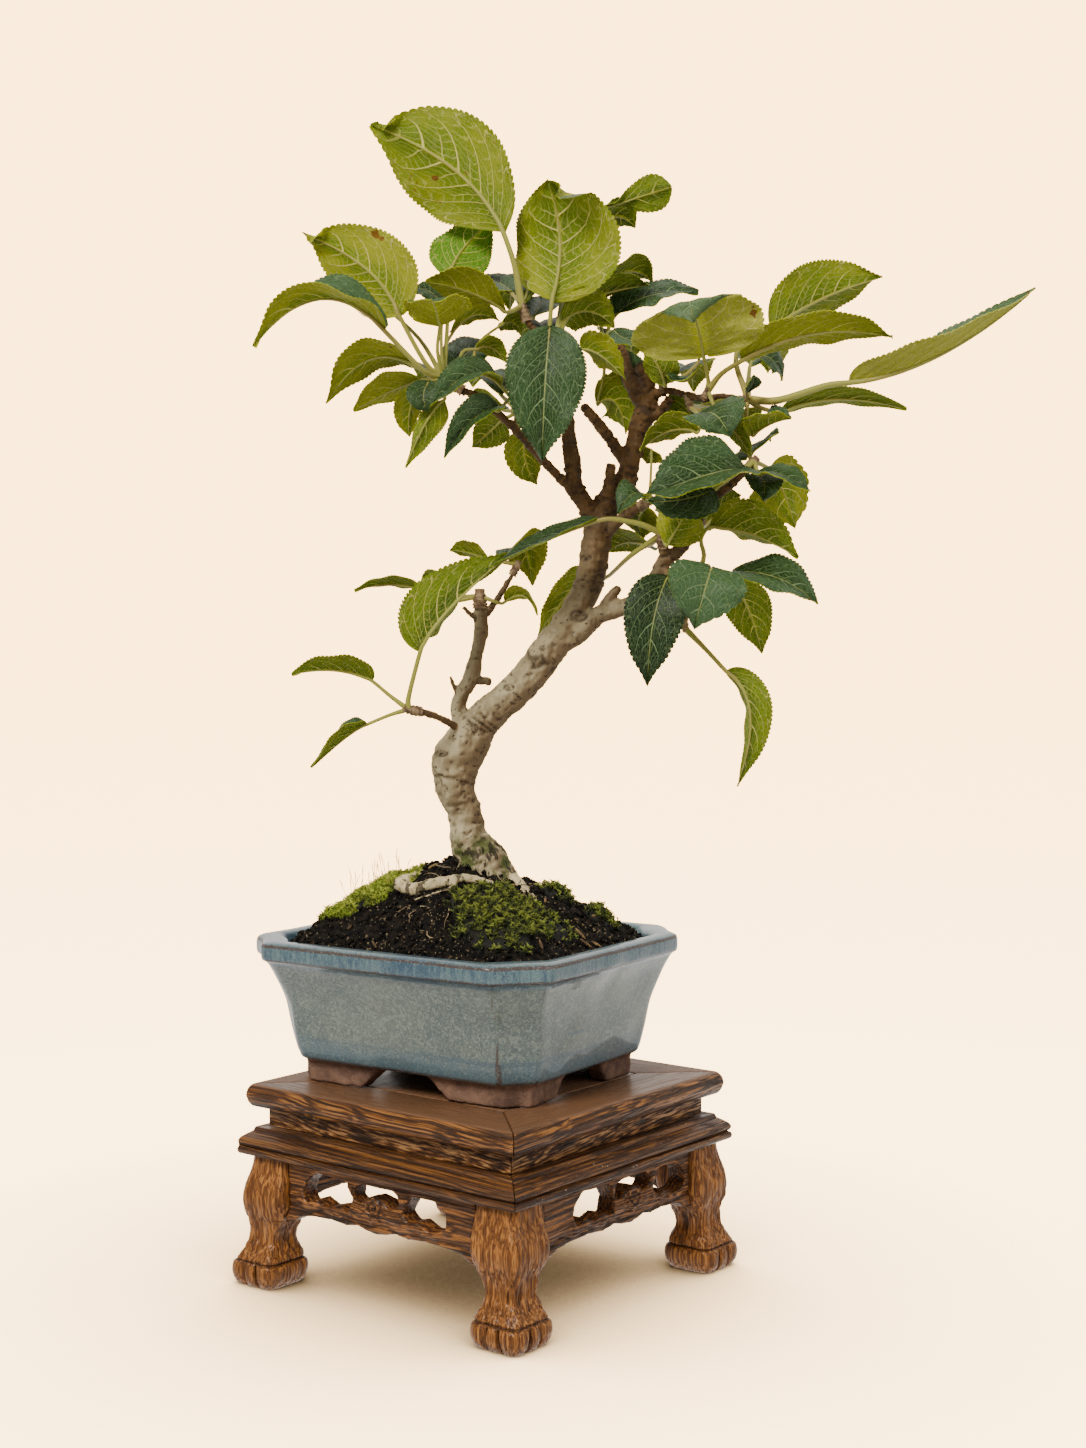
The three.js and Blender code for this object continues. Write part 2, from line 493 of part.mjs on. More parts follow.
const rad = THREE.MathUtils.degToRad;
const point = (row) => new THREE.Vector3(row[0], row[1], row[2]);
const total = (solids) => solids.reduce((sum, one) => sum.add(one));

function solid(geometry) {
  const bare = geometry.clone();
  bare.deleteAttribute("normal");
  bare.deleteAttribute("uv");
  const merged = mergeVertices(bare, 1e-3);
  return new wasm.Manifold(new wasm.Mesh({
    numProp: 3,
    vertProperties: new Float32Array(merged.attributes.position.array),
    triVerts: new Uint32Array(merged.index.array),
  }));
}

function geometryOf(body) {
  const { vertProperties, triVerts } = body.getMesh();
  const geometry = new THREE.BufferGeometry();
  geometry.setAttribute("position", new THREE.BufferAttribute(vertProperties, 3));
  geometry.setIndex(new THREE.BufferAttribute(triVerts, 1));
  geometry.computeVertexNormals();
  return geometry;
}

function closedSurface(points, triangles) {
  const geometry = new THREE.BufferGeometry().setFromPoints(points);
  geometry.setIndex(triangles);
  return geometry;
}

// Joins rings of equal count and closes both ends round their middle points.
function loft(rings) {
  const count = rings[0].length;
  const points = rings.flat();
  const triangles = [];
  for (let level = 0; level < rings.length - 1; level += 1) {
    for (let i = 0; i < count; i += 1) {
      const here = level * count + i;
      const next = level * count + (i + 1) % count;
      triangles.push(here, next, next + count, here, next + count, here + count);
    }
  }
  const last = (rings.length - 1) * count;
  const middle = (ring) => ring.reduce((sum, p) => sum.add(p), new THREE.Vector3()).divideScalar(count);
  points.push(middle(rings[0]), middle(rings[rings.length - 1]));
  for (let i = 0; i < count; i += 1) {
    const next = (i + 1) % count;
    triangles.push(points.length - 2, next, i, points.length - 1, last + i, last + next);
  }
  return closedSurface(points, triangles);
}

// A tapered round body through rows of x, y, z, radius. swell makes it fatter and longer by that much.
function tube(rows, sides, swell = 0, lobes = () => 1) {
  const middles = rows.map(point);
  const rings = [];
  let side = new THREE.Vector3(0.3, 1, 0.2);
  rows.forEach((row, i) => {
    const from = middles[Math.max(i - 1, 0)];
    const to = middles[Math.min(i + 1, rows.length - 1)];
    const along = to.clone().sub(from).normalize();
    side = side.clone().addScaledVector(along, -side.dot(along)).normalize();
    const up = along.clone().cross(side);
    const shift = i === 0 ? -swell : i === rows.length - 1 ? swell : 0;
    const centre = middles[i].clone().addScaledVector(along, shift);
    rings.push(Array.from({ length: sides }, (_, k) => {
      const angle = 2 * Math.PI * k / sides;
      const radius = row[3] * lobes(angle, row) + swell;
      return centre.clone()
        .addScaledVector(side, Math.cos(angle) * radius)
        .addScaledVector(up, Math.sin(angle) * radius);
    }));
  });
  return loft(rings);
}

function finish(color, roughness) {
  return new THREE.MeshStandardMaterial({ color, roughness, metalness: 0 });
}

function piece(name, geometry, color, roughness, turn = 0) {
  const mesh = new THREE.Mesh(geometry, finish(color, roughness));
  mesh.name = name;
  mesh.rotation.z = turn;
  return mesh;
}

const SIDES = ["front", "right", "back", "left"];

// ---- stand -----------------------------------------------------------------------------------------

// One side of a mitred frame: an outer edge of half sizes and heights, and a straight inner edge.
function strip(edge, inner) {
  const mitre = GAP * Math.SQRT1_2;
  const profile = [[inner, edge[edge.length - 1][1]], [inner, edge[0][1]], ...edge];
  const end = (way) => profile.map(([half, z]) => new THREE.Vector3(way * (half - mitre), -half, z));
  return loft([end(1), end(-1)]);
}

function roundedSquare(half, radius, z) {
  const ring = [];
  const reach = (half - radius) * Math.SQRT2;
  for (let corner = 0; corner < 4; corner += 1) {
    const diagonal = rad(90 * corner + 45);
    for (let step = 0; step < 3; step += 1) {
      const angle = rad(90 * corner + 45 * step);
      ring.push(new THREE.Vector3(
        reach * Math.cos(diagonal) + radius * Math.cos(angle),
        reach * Math.sin(diagonal) + radius * Math.sin(angle),
        z,
      ));
    }
  }
  return ring;
}

// The leg at the corner between the front and the right side. swell makes it fatter by that much.
function legBlock(swell) {
  return solid(loft(LEG_ROWS.map(([z, outer, width]) => {
    const centre = outer - width / 2;
    return roundedSquare(width / 2 + swell, width * LEG_CORNER, z)
      .map((p) => p.add(new THREE.Vector3(centre, -centre, 0)));
  })));
}

function leg() {
  const [, outer, width] = LEG_ROWS[2];
  const cuts = TOE_CUTS.flatMap((place) => {
    const wedge = new THREE.CylinderGeometry(TOE_GROOVE, TOE_GROOVE, TOE_HEIGHT * 2, 4);
    wedge.rotateX(Math.PI / 2);
    const along = outer - width / 2 + place;
    return [solid(wedge.clone().translate(along, -outer, 0)), solid(wedge.translate(outer, -along, 0))];
  });
  return geometryOf(legBlock(0).subtract(total(cuts)));
}

function apron(side) {
  const shift = CARVING_SHIFT[side];
  const top = LEG_ROWS[LEG_ROWS.length - 1][0];
  const path = (rows) => rows.map(([x, z]) => new THREE.Vector2(x, z));
  const half = (way) => APRON_EDGE.map(([x, z]) => [way * x + shift * (1 - x / APRON_HALF), z]);
  const edge = [...half(-1), [shift, APRON_PENDANT], ...half(1).reverse()];
  const shape = new THREE.Shape(path([[-APRON_HALF, top], ...edge, [APRON_HALF, top]]));
  for (const hole of [LEFT_HOLE, MIDDLE_HOLE, RIGHT_HOLE]) {
    shape.holes.push(new THREE.Path(path(hole.map(([x, z]) => [x + shift, z]))));
  }
  const board = new THREE.ExtrudeGeometry(shape, { depth: APRON_THICKNESS, bevelEnabled: false })
    .rotateX(Math.PI / 2)
    .translate(0, APRON_THICKNESS - APRON_FACE, 0);
  const rosette = new THREE.CylinderGeometry(ROSETTE_RADIUS, ROSETTE_RADIUS, APRON_THICKNESS, 10)
    .translate(shift, APRON_THICKNESS / 2 - APRON_FACE - ROSETTE_RELIEF, ROSETTE_HEIGHT);
  const rightLeg = legBlock(GAP);
  const legs = rightLeg.add(rightLeg.rotate([0, 0, -90]));
  return geometryOf(solid(board).add(solid(rosette)).subtract(legs));
}

function buildStand() {
  const stand = new THREE.Group();
  const panelSize = PANEL_HALF * 2;
  const slabHeight = SLAB_TOP - SLAB_BOTTOM;
  const panel = new THREE.BoxGeometry(panelSize, panelSize, slabHeight)
    .translate(0, 0, SLAB_BOTTOM + slabHeight / 2);
  stand.add(piece("stand_panel", panel, 0x5d4433, 0.5));
  SIDES.forEach((side, k) => {
    const turn = k * Math.PI / 2;
    const rail = strip(SLAB_EDGE, PANEL_HALF + PANEL_GROOVE);
    stand.add(piece(`stand_rail_${side}`, rail, 0x5a3a22, 0.5, turn));
    stand.add(piece(`stand_waist_${side}`, strip(WAIST_EDGE, WAIST_INNER), 0x6b3f22, 0.55, turn));
    stand.add(piece(`stand_moulding_${side}`, strip(MOULDING_EDGE, MOULDING_INNER), 0x4a2f1d, 0.5, turn));
    stand.add(piece(`stand_apron_${side}`, apron(side), 0x5a3a22, 0.55, turn));
    stand.add(piece(`stand_leg_${side}`, leg(), 0x8e5a2c, 0.5, turn));
  });
  return stand;
}

const POT_CENTRE = new THREE.Vector2(POT_X, POT_Y);

// ---- pot -------------------------------------------------------------------------------------------

// From the pot's own frame to the stand's frame, and back.
function fromPot(x, y) {
  return new THREE.Vector2(x, y).rotateAround(new THREE.Vector2(), rad(POT_TURN)).add(POT_CENTRE);
}

function toPot(x, y) {
  return new THREE.Vector2(x, y).sub(POT_CENTRE).rotateAround(new THREE.Vector2(), -rad(POT_TURN));
}

// Twelve points counter-clockwise: each cut corner has a slight dent in its middle.
function cutCornerRing([halfX, halfY, cut, z], inset = 0) {
  const ring = [];
  const x = halfX - inset;
  const y = halfY - inset;
  const mid = cut / 2 + CORNER_DENT;
  const quarter = [[x, y - cut], [x - mid, y - mid], [x - cut, y]];
  [[1, 1], [-1, 1], [-1, -1], [1, -1]].forEach(([signX, signY]) => {
    const corner = quarter.map(([px, py]) => {
      const p = fromPot(signX * px, signY * py);
      return new THREE.Vector3(p.x, p.y, z);
    });
    ring.push(...(signX * signY > 0 ? corner : corner.reverse()));
  });
  return ring;
}

// One wall of the four corner feet: a board along x or y with its middle cut away on a slant.
function footWalls(half, depth, gap, alongX) {
  const height = FOOT_TOP - FOOT_BOTTOM;
  const walls = [];
  for (const way of [-1, 1]) {
    for (const face of [-1, 1]) {
      const ends = [[half, 0], [half, height], [gap[0], height], [gap[1], 0]];
      const shape = new THREE.Shape(ends.map(([x, z]) => new THREE.Vector2(way * x, z)));
      const wall = new THREE.ExtrudeGeometry(shape, { depth: FOOT_WALL, bevelEnabled: false })
        .rotateX(Math.PI / 2)
        .translate(0, face > 0 ? depth : FOOT_WALL - depth, FOOT_BOTTOM);
      walls.push(solid(alongX ? wall : wall.rotateZ(Math.PI / 2)));
    }
  }
  return walls;
}

function pot() {
  const outside = POT_OUTSIDE.map((row) => cutCornerRing(row));
  const inside = POT_INSIDE.map((row) => cutCornerRing(row));
  const [halfX, halfY, cut] = POT_OUTSIDE[0].map((size) => size - FOOT_INSET);
  const walls = [
    ...footWalls(halfX, halfY, FOOT_GAP_X, true), ...footWalls(halfY, halfX, FOOT_GAP_Y, false),
  ];
  const plan = [FOOT_BOTTOM, FOOT_TOP].map((z) => cutCornerRing([halfX, halfY, cut, z]));
  const feet = total(walls)
    .rotate([0, 0, POT_TURN])
    .translate([POT_X, POT_Y, 0])
    .intersect(solid(loft(plan)));
  const drain = new THREE.CylinderGeometry(DRAIN_RADIUS, DRAIN_RADIUS, 40, 16)
    .rotateX(Math.PI / 2)
    .translate(POT_X, POT_Y, POT_OUTSIDE[0][3]);
  return solid(loft([...outside, ...inside])).add(feet).subtract(solid(drain));
}

// ---- soil, moss ------------------------------------------------------------------------------------

const TURN = rad(TREE_TURN);

// From the tree's frame (across, back) to the stand's frame.
function placed(across, back) {
  return new THREE.Vector2(across, back).rotateAround(new THREE.Vector2(), TURN);
}

const PEAK = placed(PEAK_ACROSS, PEAK_BACK);
const POT_PEAK = toPot(PEAK.x, PEAK.y);

function soilHeight(x, y) {
  const [, [halfX, halfY]] = POT_INSIDE;
  const away = toPot(x, y).sub(POT_PEAK);
  const shareX = Math.abs(away.x) / (halfX - Math.sign(away.x) * POT_PEAK.x);
  const shareY = Math.abs(away.y) / (halfY - Math.sign(away.y) * POT_PEAK.y);
  const share = (shareX ** SOIL_CORNERS + shareY ** SOIL_CORNERS) ** (1 / SOIL_CORNERS);
  const rise = Math.max(1 - share, 0) ** SOIL_ROUNDING;
  const lumps = Math.sin(x / 5.3 + 1) * Math.cos(y / 4.7) + 0.6 * Math.sin((x + y) / 3.1);
  return SOIL_EDGE + (SOIL_PEAK - SOIL_EDGE) * rise + lumps * Math.min(rise * 3, 1);
}

function denser(ring) {
  return ring.flatMap((p, i) => [p, p.clone().lerp(ring[(i + 1) % ring.length], 0.5)]);
}

function soil() {
  const [, edge, wall, floor] = POT_INSIDE.map((row) => denser(cutCornerRing(row, SOIL_SEAT)));
  floor.forEach((p) => { p.z += GAP; });
  const rings = [floor, wall, edge];
  for (const share of SOIL_RINGS) {
    rings.push(edge.map((p) => {
      const x = PEAK.x + (p.x - PEAK.x) * share;
      const y = PEAK.y + (p.y - PEAK.y) * share;
      return new THREE.Vector3(x, y, soilHeight(x, y));
    }));
  }
  return solid(loft(rings));
}

// A cushion laid over the mound: a thick lens whose underside is cut away along the soil.
function moss([, across, back, radiusX, radiusY, height], ground) {
  const centre = placed(across, back);
  const ring = ([share, rise], side) => Array.from({ length: MOSS_POINTS }, (_, k) => {
    const angle = 2 * Math.PI * k / MOSS_POINTS;
    const ragged = 1 + 0.08 * Math.sin(3 * angle + across) + 0.05 * Math.cos(5 * angle);
    const reach = share * ragged;
    const p = placed(Math.cos(angle) * radiusX * reach, Math.sin(angle) * radiusY * reach).add(centre);
    const lift = side > 0 ? MOSS_EDGE + rise * height : -MOSS_DEPTH;
    return new THREE.Vector3(p.x, p.y, soilHeight(p.x, p.y) + lift);
  });
  const under = MOSS_SECTION.map((step) => ring(step, -1));
  const over = MOSS_SECTION.map((step) => ring(step, 1)).reverse();
  return solid(loft([...under, ...over])).subtract(ground.translate(0, 0, GAP));
}

// ---- wood ------------------------------------------------------------------------------------------

// The trunk's section is a little uneven and spreads into root lobes at its foot.
function trunkLobes(angle, [, , z]) {
  const flare = Math.min(Math.max((FLARE_TOP - z) / FLARE_DEPTH, 0), 1);
  const uneven = TRUNK_UNEVEN * Math.sin(2 * angle + z * 0.09);
  return 1 + uneven + flare * FLARE_LOBES * Math.cos(4 * angle + 0.6);
}

function rootRows() {
  return ROOTS.map((root) => root.map(([across, back, rise, radius]) => {
    const p = placed(across, back);
    return [across, back, soilHeight(p.x, p.y) + rise, radius];
  }));
}

function wood(swell) {
  const limbs = Object.entries(LIMBS).map(([name, rows]) => {
    const lobes = name === "trunk" ? trunkLobes : undefined;
    return solid(tube(rows, LIMB_SIDES[name] ?? TWIG_SIDES, swell, lobes));
  });
  const roots = rootRows().map((rows) => solid(tube(rows, TWIG_SIDES, swell)));
  return total([...limbs, ...roots]);
}

// ---- leaves ----------------------------------------------------------------------------------------

// The rib is a parabola through base, middle and tip. The blade's upper side turns from face to endFace.
function bladeFrame(one, share) {
  const [base, mid, tip] = [one.base, one.mid, one.tip].map(point);
  const control = mid.clone().multiplyScalar(2).addScaledVector(base, -0.5).addScaledVector(tip, -0.5);
  const rib = new THREE.QuadraticBezierCurve3(base, control, tip);
  const along = rib.getTangent(share);
  const blend = THREE.MathUtils.smoothstep(share, 0.3, 0.7);
  const face = point(one.face).normalize().lerp(point(one.endFace).normalize(), blend);
  const side = rib.getTangent(0.5).cross(face);
  side.addScaledVector(along, -side.dot(along)).normalize();
  return { centre: rib.getPoint(share), side, top: side.clone().cross(along) };
}

function halfWidth(one, share) {
  const skew = Math.log(0.5) / Math.log(one.belly);
  const swelling = Math.max(Math.sin(Math.PI * share ** skew), 0) ** 0.75;
  return one.width / 2 * swelling * (1 - 0.12 * share);
}

function bladeTeeth(one) {
  const length = point(one.base).distanceTo(point(one.mid)) + point(one.mid).distanceTo(point(one.tip));
  return LEAF_LENGTHS.filter((limit) => length > limit).length + 2;
}

// Teeth and notches of one margin, from base to tip, each with its face's offset for the thickness.
function margin(one, teeth, way) {
  const fold = rad(one.fold);
  const rows = [];
  for (let k = 0; k < teeth; k += 1) {
    rows.push([(k + TOOTH_PLACE[0]) / teeth, TOOTH_PLACE[1]]);
    if (k < teeth - 1) {
      rows.push([(k + NOTCH_PLACE[0]) / teeth, NOTCH_PLACE[1]]);
    }
  }
  return rows.map(([share, reach]) => {
    const { centre, side, top } = bladeFrame(one, share);
    const out = halfWidth(one, share) * reach;
    const wave = MARGIN_WAVE * one.width * Math.sin(9 * share + way + one.width);
    const at = centre.clone()
      .addScaledVector(side, way * (out * Math.cos(fold) - wave * Math.sin(fold)))
      .addScaledVector(top, out * Math.sin(fold) + wave * Math.cos(fold));
    const normal = top.clone().multiplyScalar(Math.cos(fold)).addScaledVector(side, -way * Math.sin(fold));
    return { at, normal };
  });
}

// One leaf in one skin: a four-sided stalk from near the hub that widens into the folded blade.
function leafBody(start, one) {
  const teeth = bladeTeeth(one);
  const rib = Array.from({ length: teeth + 1 }, (_, k) => {
    const { centre, top } = bladeFrame(one, k / teeth);
    return { at: centre, normal: top };
  });
  const rows = [...rib, ...margin(one, teeth, 1), ...margin(one, teeth, -1)];
  const place = (half) => rows.map(({ at, normal }) => at.clone().addScaledVector(normal, half));
  const count = rows.length;
  const marginCount = 2 * teeth - 1;
  const firstRight = teeth + 1;
  const firstLeft = firstRight + marginCount;
  const [rightEnd, leftEnd] = [2 * count, 2 * count + 1];
  const { centre, side, top } = bladeFrame(one, 0);
  const points = [
    ...place(BLADE_THICKNESS / 2), ...place(-BLADE_THICKNESS / 2),
    centre.clone().addScaledVector(side, STALK_END), centre.clone().addScaledVector(side, -STALK_END),
  ];

  const lower = (i) => (i < count ? i + count : i);
  const upper = [];
  for (const [first, end, flip] of [[firstRight, rightEnd, false], [firstLeft, leftEnd, true]]) {
    const half = [[0, end, first]];
    for (let k = 0; k < teeth; k += 1) {
      const tooth = first + 2 * k;
      if (k === teeth - 1) {
        half.push([k, tooth, k + 1]);
      } else {
        half.push([k, tooth, tooth + 1], [k, tooth + 1, k + 1], [k + 1, tooth + 1, tooth + 2]);
      }
    }
    upper.push(...half.map(([a, b, c]) => (flip ? [a, c, b] : [a, b, c])));
  }
  const under = upper.map(([a, b, c]) => [lower(a), lower(c), lower(b)]);
  const right = Array.from({ length: marginCount }, (_, i) => firstRight + i);
  const left = right.map((i) => i + marginCount).reverse();
  const edge = [rightEnd, ...right, teeth, ...left, leftEnd];
  const rim = edge.slice(1).flatMap((next, i) => {
    const here = edge[i];
    return [[lower(here), lower(next), next], [lower(here), next, here]];
  }).filter(([a, b, c]) => a !== b && b !== c && c !== a);

  // the stalk's rings, from the blade back to its start: above, right, below, left
  const route = [point(start), ...one.via.map(point), centre];
  const stalk = [];
  let ring = [0, rightEnd, count, leftEnd];
  let across = side.clone();
  for (let i = route.length - 2; i >= 0; i -= 1) {
    const along = route[i + 1].clone().sub(route[Math.max(i - 1, 0)]).normalize();
    across = across.addScaledVector(along, -across.dot(along)).normalize();
    const above = across.clone().cross(along);
    const radius = i === 0 ? STALK_RADIUS : STALK_RADIUS * STALK_TAPER;
    const first = points.length;
    for (const [way, size] of [[above, radius], [across, radius], [above, -radius], [across, -radius]]) {
      points.push(route[i].clone().addScaledVector(way, size));
    }
    const before = [0, 1, 2, 3].map((k) => first + k);
    for (let k = 0; k < 4; k += 1) {
      const m = (k + 1) % 4;
      stalk.push([before[k], before[m], ring[m]], [before[k], ring[m], ring[k]]);
    }
    ring = before;
  }
  stalk.push([ring[0], ring[2], ring[1]], [ring[0], ring[3], ring[2]]);
  return solid(closedSurface(points, [...upper, ...under, ...rim, ...stalk].flat()));
}

function shoot({ seat, hub, radius, leaves }, clearance) {
  const end = point(hub);
  const tip = end.clone().addScaledVector(end.clone().sub(point(seat)).normalize(), radius * 0.7);
  const spur = tube([[...seat, radius + 0.3], [...hub, radius], [...tip, radius * 0.5]], SPUR_SIDES);
  const parts = leaves.map((one) => {
    const toward = point(one.via[0] ?? one.base).sub(end).normalize();
    return leafBody(end.clone().addScaledVector(toward, radius * STALK_START).toArray(), one);
  });
  const body = total([solid(spur), ...parts]).subtract(clearance);
  return body.decompose().reduce((most, one) => (one.volume() > most.volume() ? one : most));
}

// ---- the whole -------------------------------------------------------------------------------------

const tree = new THREE.Group();
tree.rotation.z = TURN;
const timber = wood(0);
const clearance = wood(GAP);
const turnedClearance = clearance.rotate([0, 0, TREE_TURN]);
const ground = soil();
const vessel = new THREE.Group();

vessel.add(piece("pot", geometryOf(pot()), 0x8a9a97, 0.3));
vessel.add(piece("soil", geometryOf(ground.subtract(turnedClearance)), 0x2a211b, 0.95));
for (const row of MOSS) {
  vessel.add(piece(row[0], geometryOf(moss(row, ground).subtract(turnedClearance)), 0x5c7a2e, 0.95));
}
tree.add(piece("trunk", geometryOf(timber), 0x8a7762, 0.85));
for (const [name, row] of Object.entries(SHOOTS)) {
  tree.add(piece(`leaves_${name}`, geometryOf(shoot(row, clearance)), 0x7d9440, 0.6));
}

const bonsai = new THREE.Group();
bonsai.add(buildStand(), vessel, tree);
const box = new THREE.Box3().setFromObject(bonsai, true);
const middle = box.getCenter(new THREE.Vector3());
bonsai.position.set(-middle.x, -middle.y, -box.min.z);

export default bonsai;
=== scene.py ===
import math
import random

import bpy
import numpy as np
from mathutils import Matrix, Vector

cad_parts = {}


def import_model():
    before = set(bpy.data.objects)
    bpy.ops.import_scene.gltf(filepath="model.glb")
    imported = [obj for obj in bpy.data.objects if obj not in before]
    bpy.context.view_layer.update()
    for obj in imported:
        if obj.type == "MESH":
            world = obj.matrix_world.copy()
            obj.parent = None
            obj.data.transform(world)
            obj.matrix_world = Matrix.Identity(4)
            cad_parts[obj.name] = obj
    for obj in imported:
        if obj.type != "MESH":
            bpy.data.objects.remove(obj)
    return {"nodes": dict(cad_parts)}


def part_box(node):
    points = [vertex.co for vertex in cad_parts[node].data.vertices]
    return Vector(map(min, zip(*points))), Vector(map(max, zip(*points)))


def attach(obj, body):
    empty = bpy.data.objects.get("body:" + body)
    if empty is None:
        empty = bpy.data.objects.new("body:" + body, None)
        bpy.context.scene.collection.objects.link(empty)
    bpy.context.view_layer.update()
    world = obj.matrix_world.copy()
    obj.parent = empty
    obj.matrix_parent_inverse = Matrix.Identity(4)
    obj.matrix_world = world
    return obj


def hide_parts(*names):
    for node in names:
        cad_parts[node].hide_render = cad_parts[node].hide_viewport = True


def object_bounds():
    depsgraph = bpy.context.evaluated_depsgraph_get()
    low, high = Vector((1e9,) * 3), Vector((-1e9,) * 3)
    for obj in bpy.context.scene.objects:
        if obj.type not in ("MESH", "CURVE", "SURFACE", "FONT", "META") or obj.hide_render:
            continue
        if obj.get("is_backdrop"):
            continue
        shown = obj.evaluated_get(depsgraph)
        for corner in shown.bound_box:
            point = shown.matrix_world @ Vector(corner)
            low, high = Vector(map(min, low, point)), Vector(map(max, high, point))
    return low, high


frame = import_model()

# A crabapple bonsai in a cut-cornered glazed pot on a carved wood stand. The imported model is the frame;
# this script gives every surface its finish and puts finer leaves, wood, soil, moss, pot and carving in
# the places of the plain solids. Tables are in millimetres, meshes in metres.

cad_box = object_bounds()
random.seed(7)

# ---- places and sizes ------------------------------------------------------------------------------

MM = 0.001
PANEL_LOW, PANEL_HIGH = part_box("stand_panel")
MIDDLE = np.array([*((PANEL_LOW + PANEL_HIGH) / 2).xy, 0])  # the stand's centre; the tables lie round it
TREE_TURN = math.radians(38)  # from the stand's front face to the plane the tree spreads in

CAMERA_PLACE = (544.5, -660.0, 264.8)
CAMERA_YAW = math.radians(38.03)
CAMERA_DOWN = math.radians(2.76)
CAMERA_LENS = 52.96

SIDES = ["front", "right", "back", "left"]
BENDS = 4  # steps of a rounded corner

# stand: rows of height, outer half size, width
LEG_ROWS = [
    (0, 71.8, 19), (2.5, 73.2, 21.8), (6, 73.8, 23.2), (9.3, 73.5, 22.6), (11.6, 72, 20.4),
    (15, 69.9, 16.8), (19, 68.5, 14.4), (24, 68.8, 16), (30, 70.4, 21), (35, 71, 23.2),
    (40, 70.2, 22.4), (46, 68.4, 20), (52.1, 67.4, 19),
]
TOE_HEIGHT = 9.6
TOE_CUTS = [-3.6, 3.6]
APRON_FACE = 66
CARVING_SHIFT = {"front": -1.8, "right": 8.5, "back": 0, "left": 0}
ROSETTE_HEIGHT = 41
OPENING_REACH = (12, 7.2)  # how far from its middle the edge of an opening is moved out
OPENING_HEIGHTS = (35, 50)
OPENING_GROWTH = (0.1, 0.16)
GROOVE_HEIGHT = 33.6
OPENINGS = [(-24.6, 42.6), (0.6, 45), (25.2, 42)]  # middles, along the apron and up
SCROLL_LUMPS = [  # along the apron, height, size, rise
    (-36, 37.5, 3.2, 0.9), (-30.5, 36.4, 2.6, 0.8), (-25, 36.6, 2.4, 0.9), (-19.5, 35.6, 2.8, 0.8),
    (-12.8, 37.5, 2.8, 1.0), (-8, 38.6, 2.4, 0.8), (0, 36.2, 2.6, 0.9), (7.6, 38.8, 2.4, 0.8),
    (12.6, 37.8, 2.8, 1.0), (19.2, 36.3, 2.6, 0.8), (25, 35.6, 2.4, 0.9), (31, 36.2, 2.6, 0.8),
    (36.6, 38.2, 3.0, 0.9), (-13.6, 45.5, 2.2, 0.7), (13.4, 45.2, 2.2, 0.7),
]
WOODS = {  # colours from dark to light, roughness, lean of the streaks and their sway in mm
    "stand": ("38220f", "6b4220", "b4783c", 0.36, 0.05, 4),
    "waist": ("2f1c0e", "80532d", "cf9a62", 0.42, 0.09, 3),
    "moulding": ("382212", "623f22", "91602e", 0.33, 0.03, 2),
    "apron": ("3b2412", "764c29", "b0723a", 0.42, 0, 2.5),
}

# pot: half sizes, size of the cut corner, height
POT_PLACE = (-8.9, -1.4)
POT_TURN = math.radians(5)
CORNER_DENT = 0.8
POT_OUTSIDE = [
    (56.4, 46.2, 10, 89.5), (57.6, 47.6, 10.4, 90.3), (58.5, 49, 10.6, 92), (60.2, 51.2, 11.2, 101),
    (62, 53.7, 12, 112), (64.9, 58.3, 13.2, 122), (67.2, 60.9, 14.6, 127), (69, 63, 15.6, 130),
    (70.8, 64.6, 16.8, 131.2), (71.3, 65.1, 17.2, 133), (71.3, 65.1, 17.2, 136),
    (70.9, 64.7, 17.2, 137.5), (69.6, 63.4, 17.1, 138.3),
]
POT_INSIDE = [
    (65, 58.6, 17, 138.4), (63.7, 57.3, 16.8, 137.6), (62.9, 56.4, 16.5, 135), (62.3, 55.7, 16.2, 132),
    (60.8, 54, 15, 125), (52.5, 42.5, 11, 98.5), (50.5, 40.5, 10.4, 97),
]
DRAIN_RADIUS = 6
RIM_ROW = 9  # the widest row of the outside
RIM_EDGES = (137, 131.2)  # heights of the rim's worn upper and lower edge
WALL_TOP = 130.5

# soil and moss; the mound's plan is in the pot's own frame
SOIL_EDGE = 134
SOIL_PEAK = 171
SOIL_FLOOR = 99
FLOOR_SHARE = 0.78  # width at the floor
PEAK_PLACE = (-12, 8, 0)  # in the tree's frame
MOUND_HALF = np.array([62.7, 56.2])  # where the mound's slope would end
SOIL_HALF = np.array([62.3, 55.7])  # where it meets the pot
SOIL_CUT = 16.6 / 59  # its cut corners
STREWN_HALF = np.array([61, 54.5])  # where crumbs lie
STREWN_CORNER = 1.76
SOIL_CORNERS = 5
SOIL_ROUNDING = 0.82
MOSS = {  # across and back, radii, height of the cushion
    "moss_left": (-48, 5, 19, 16, 3.2),
    "moss_front": (7, -33, 22, 22, 3.6),
    "moss_right": (29, 5, 7, 9, 2),
    "moss_far_right": (47, 2, 6, 7, 1.6),
}
CUSHION_ROWS = [  # share of the reach, share of the height
    (0.02, 1), (0.2, 1), (0.4, 0.96), (0.6, 0.85), (0.76, 0.68), (0.88, 0.45), (1, 0),
]
MOSS_LIMIT = -23  # how far back the front moss grows: it leaves the main root bare

# ---- the grown wood: rows of across, back, up, radius in the tree's frame ----------------------------

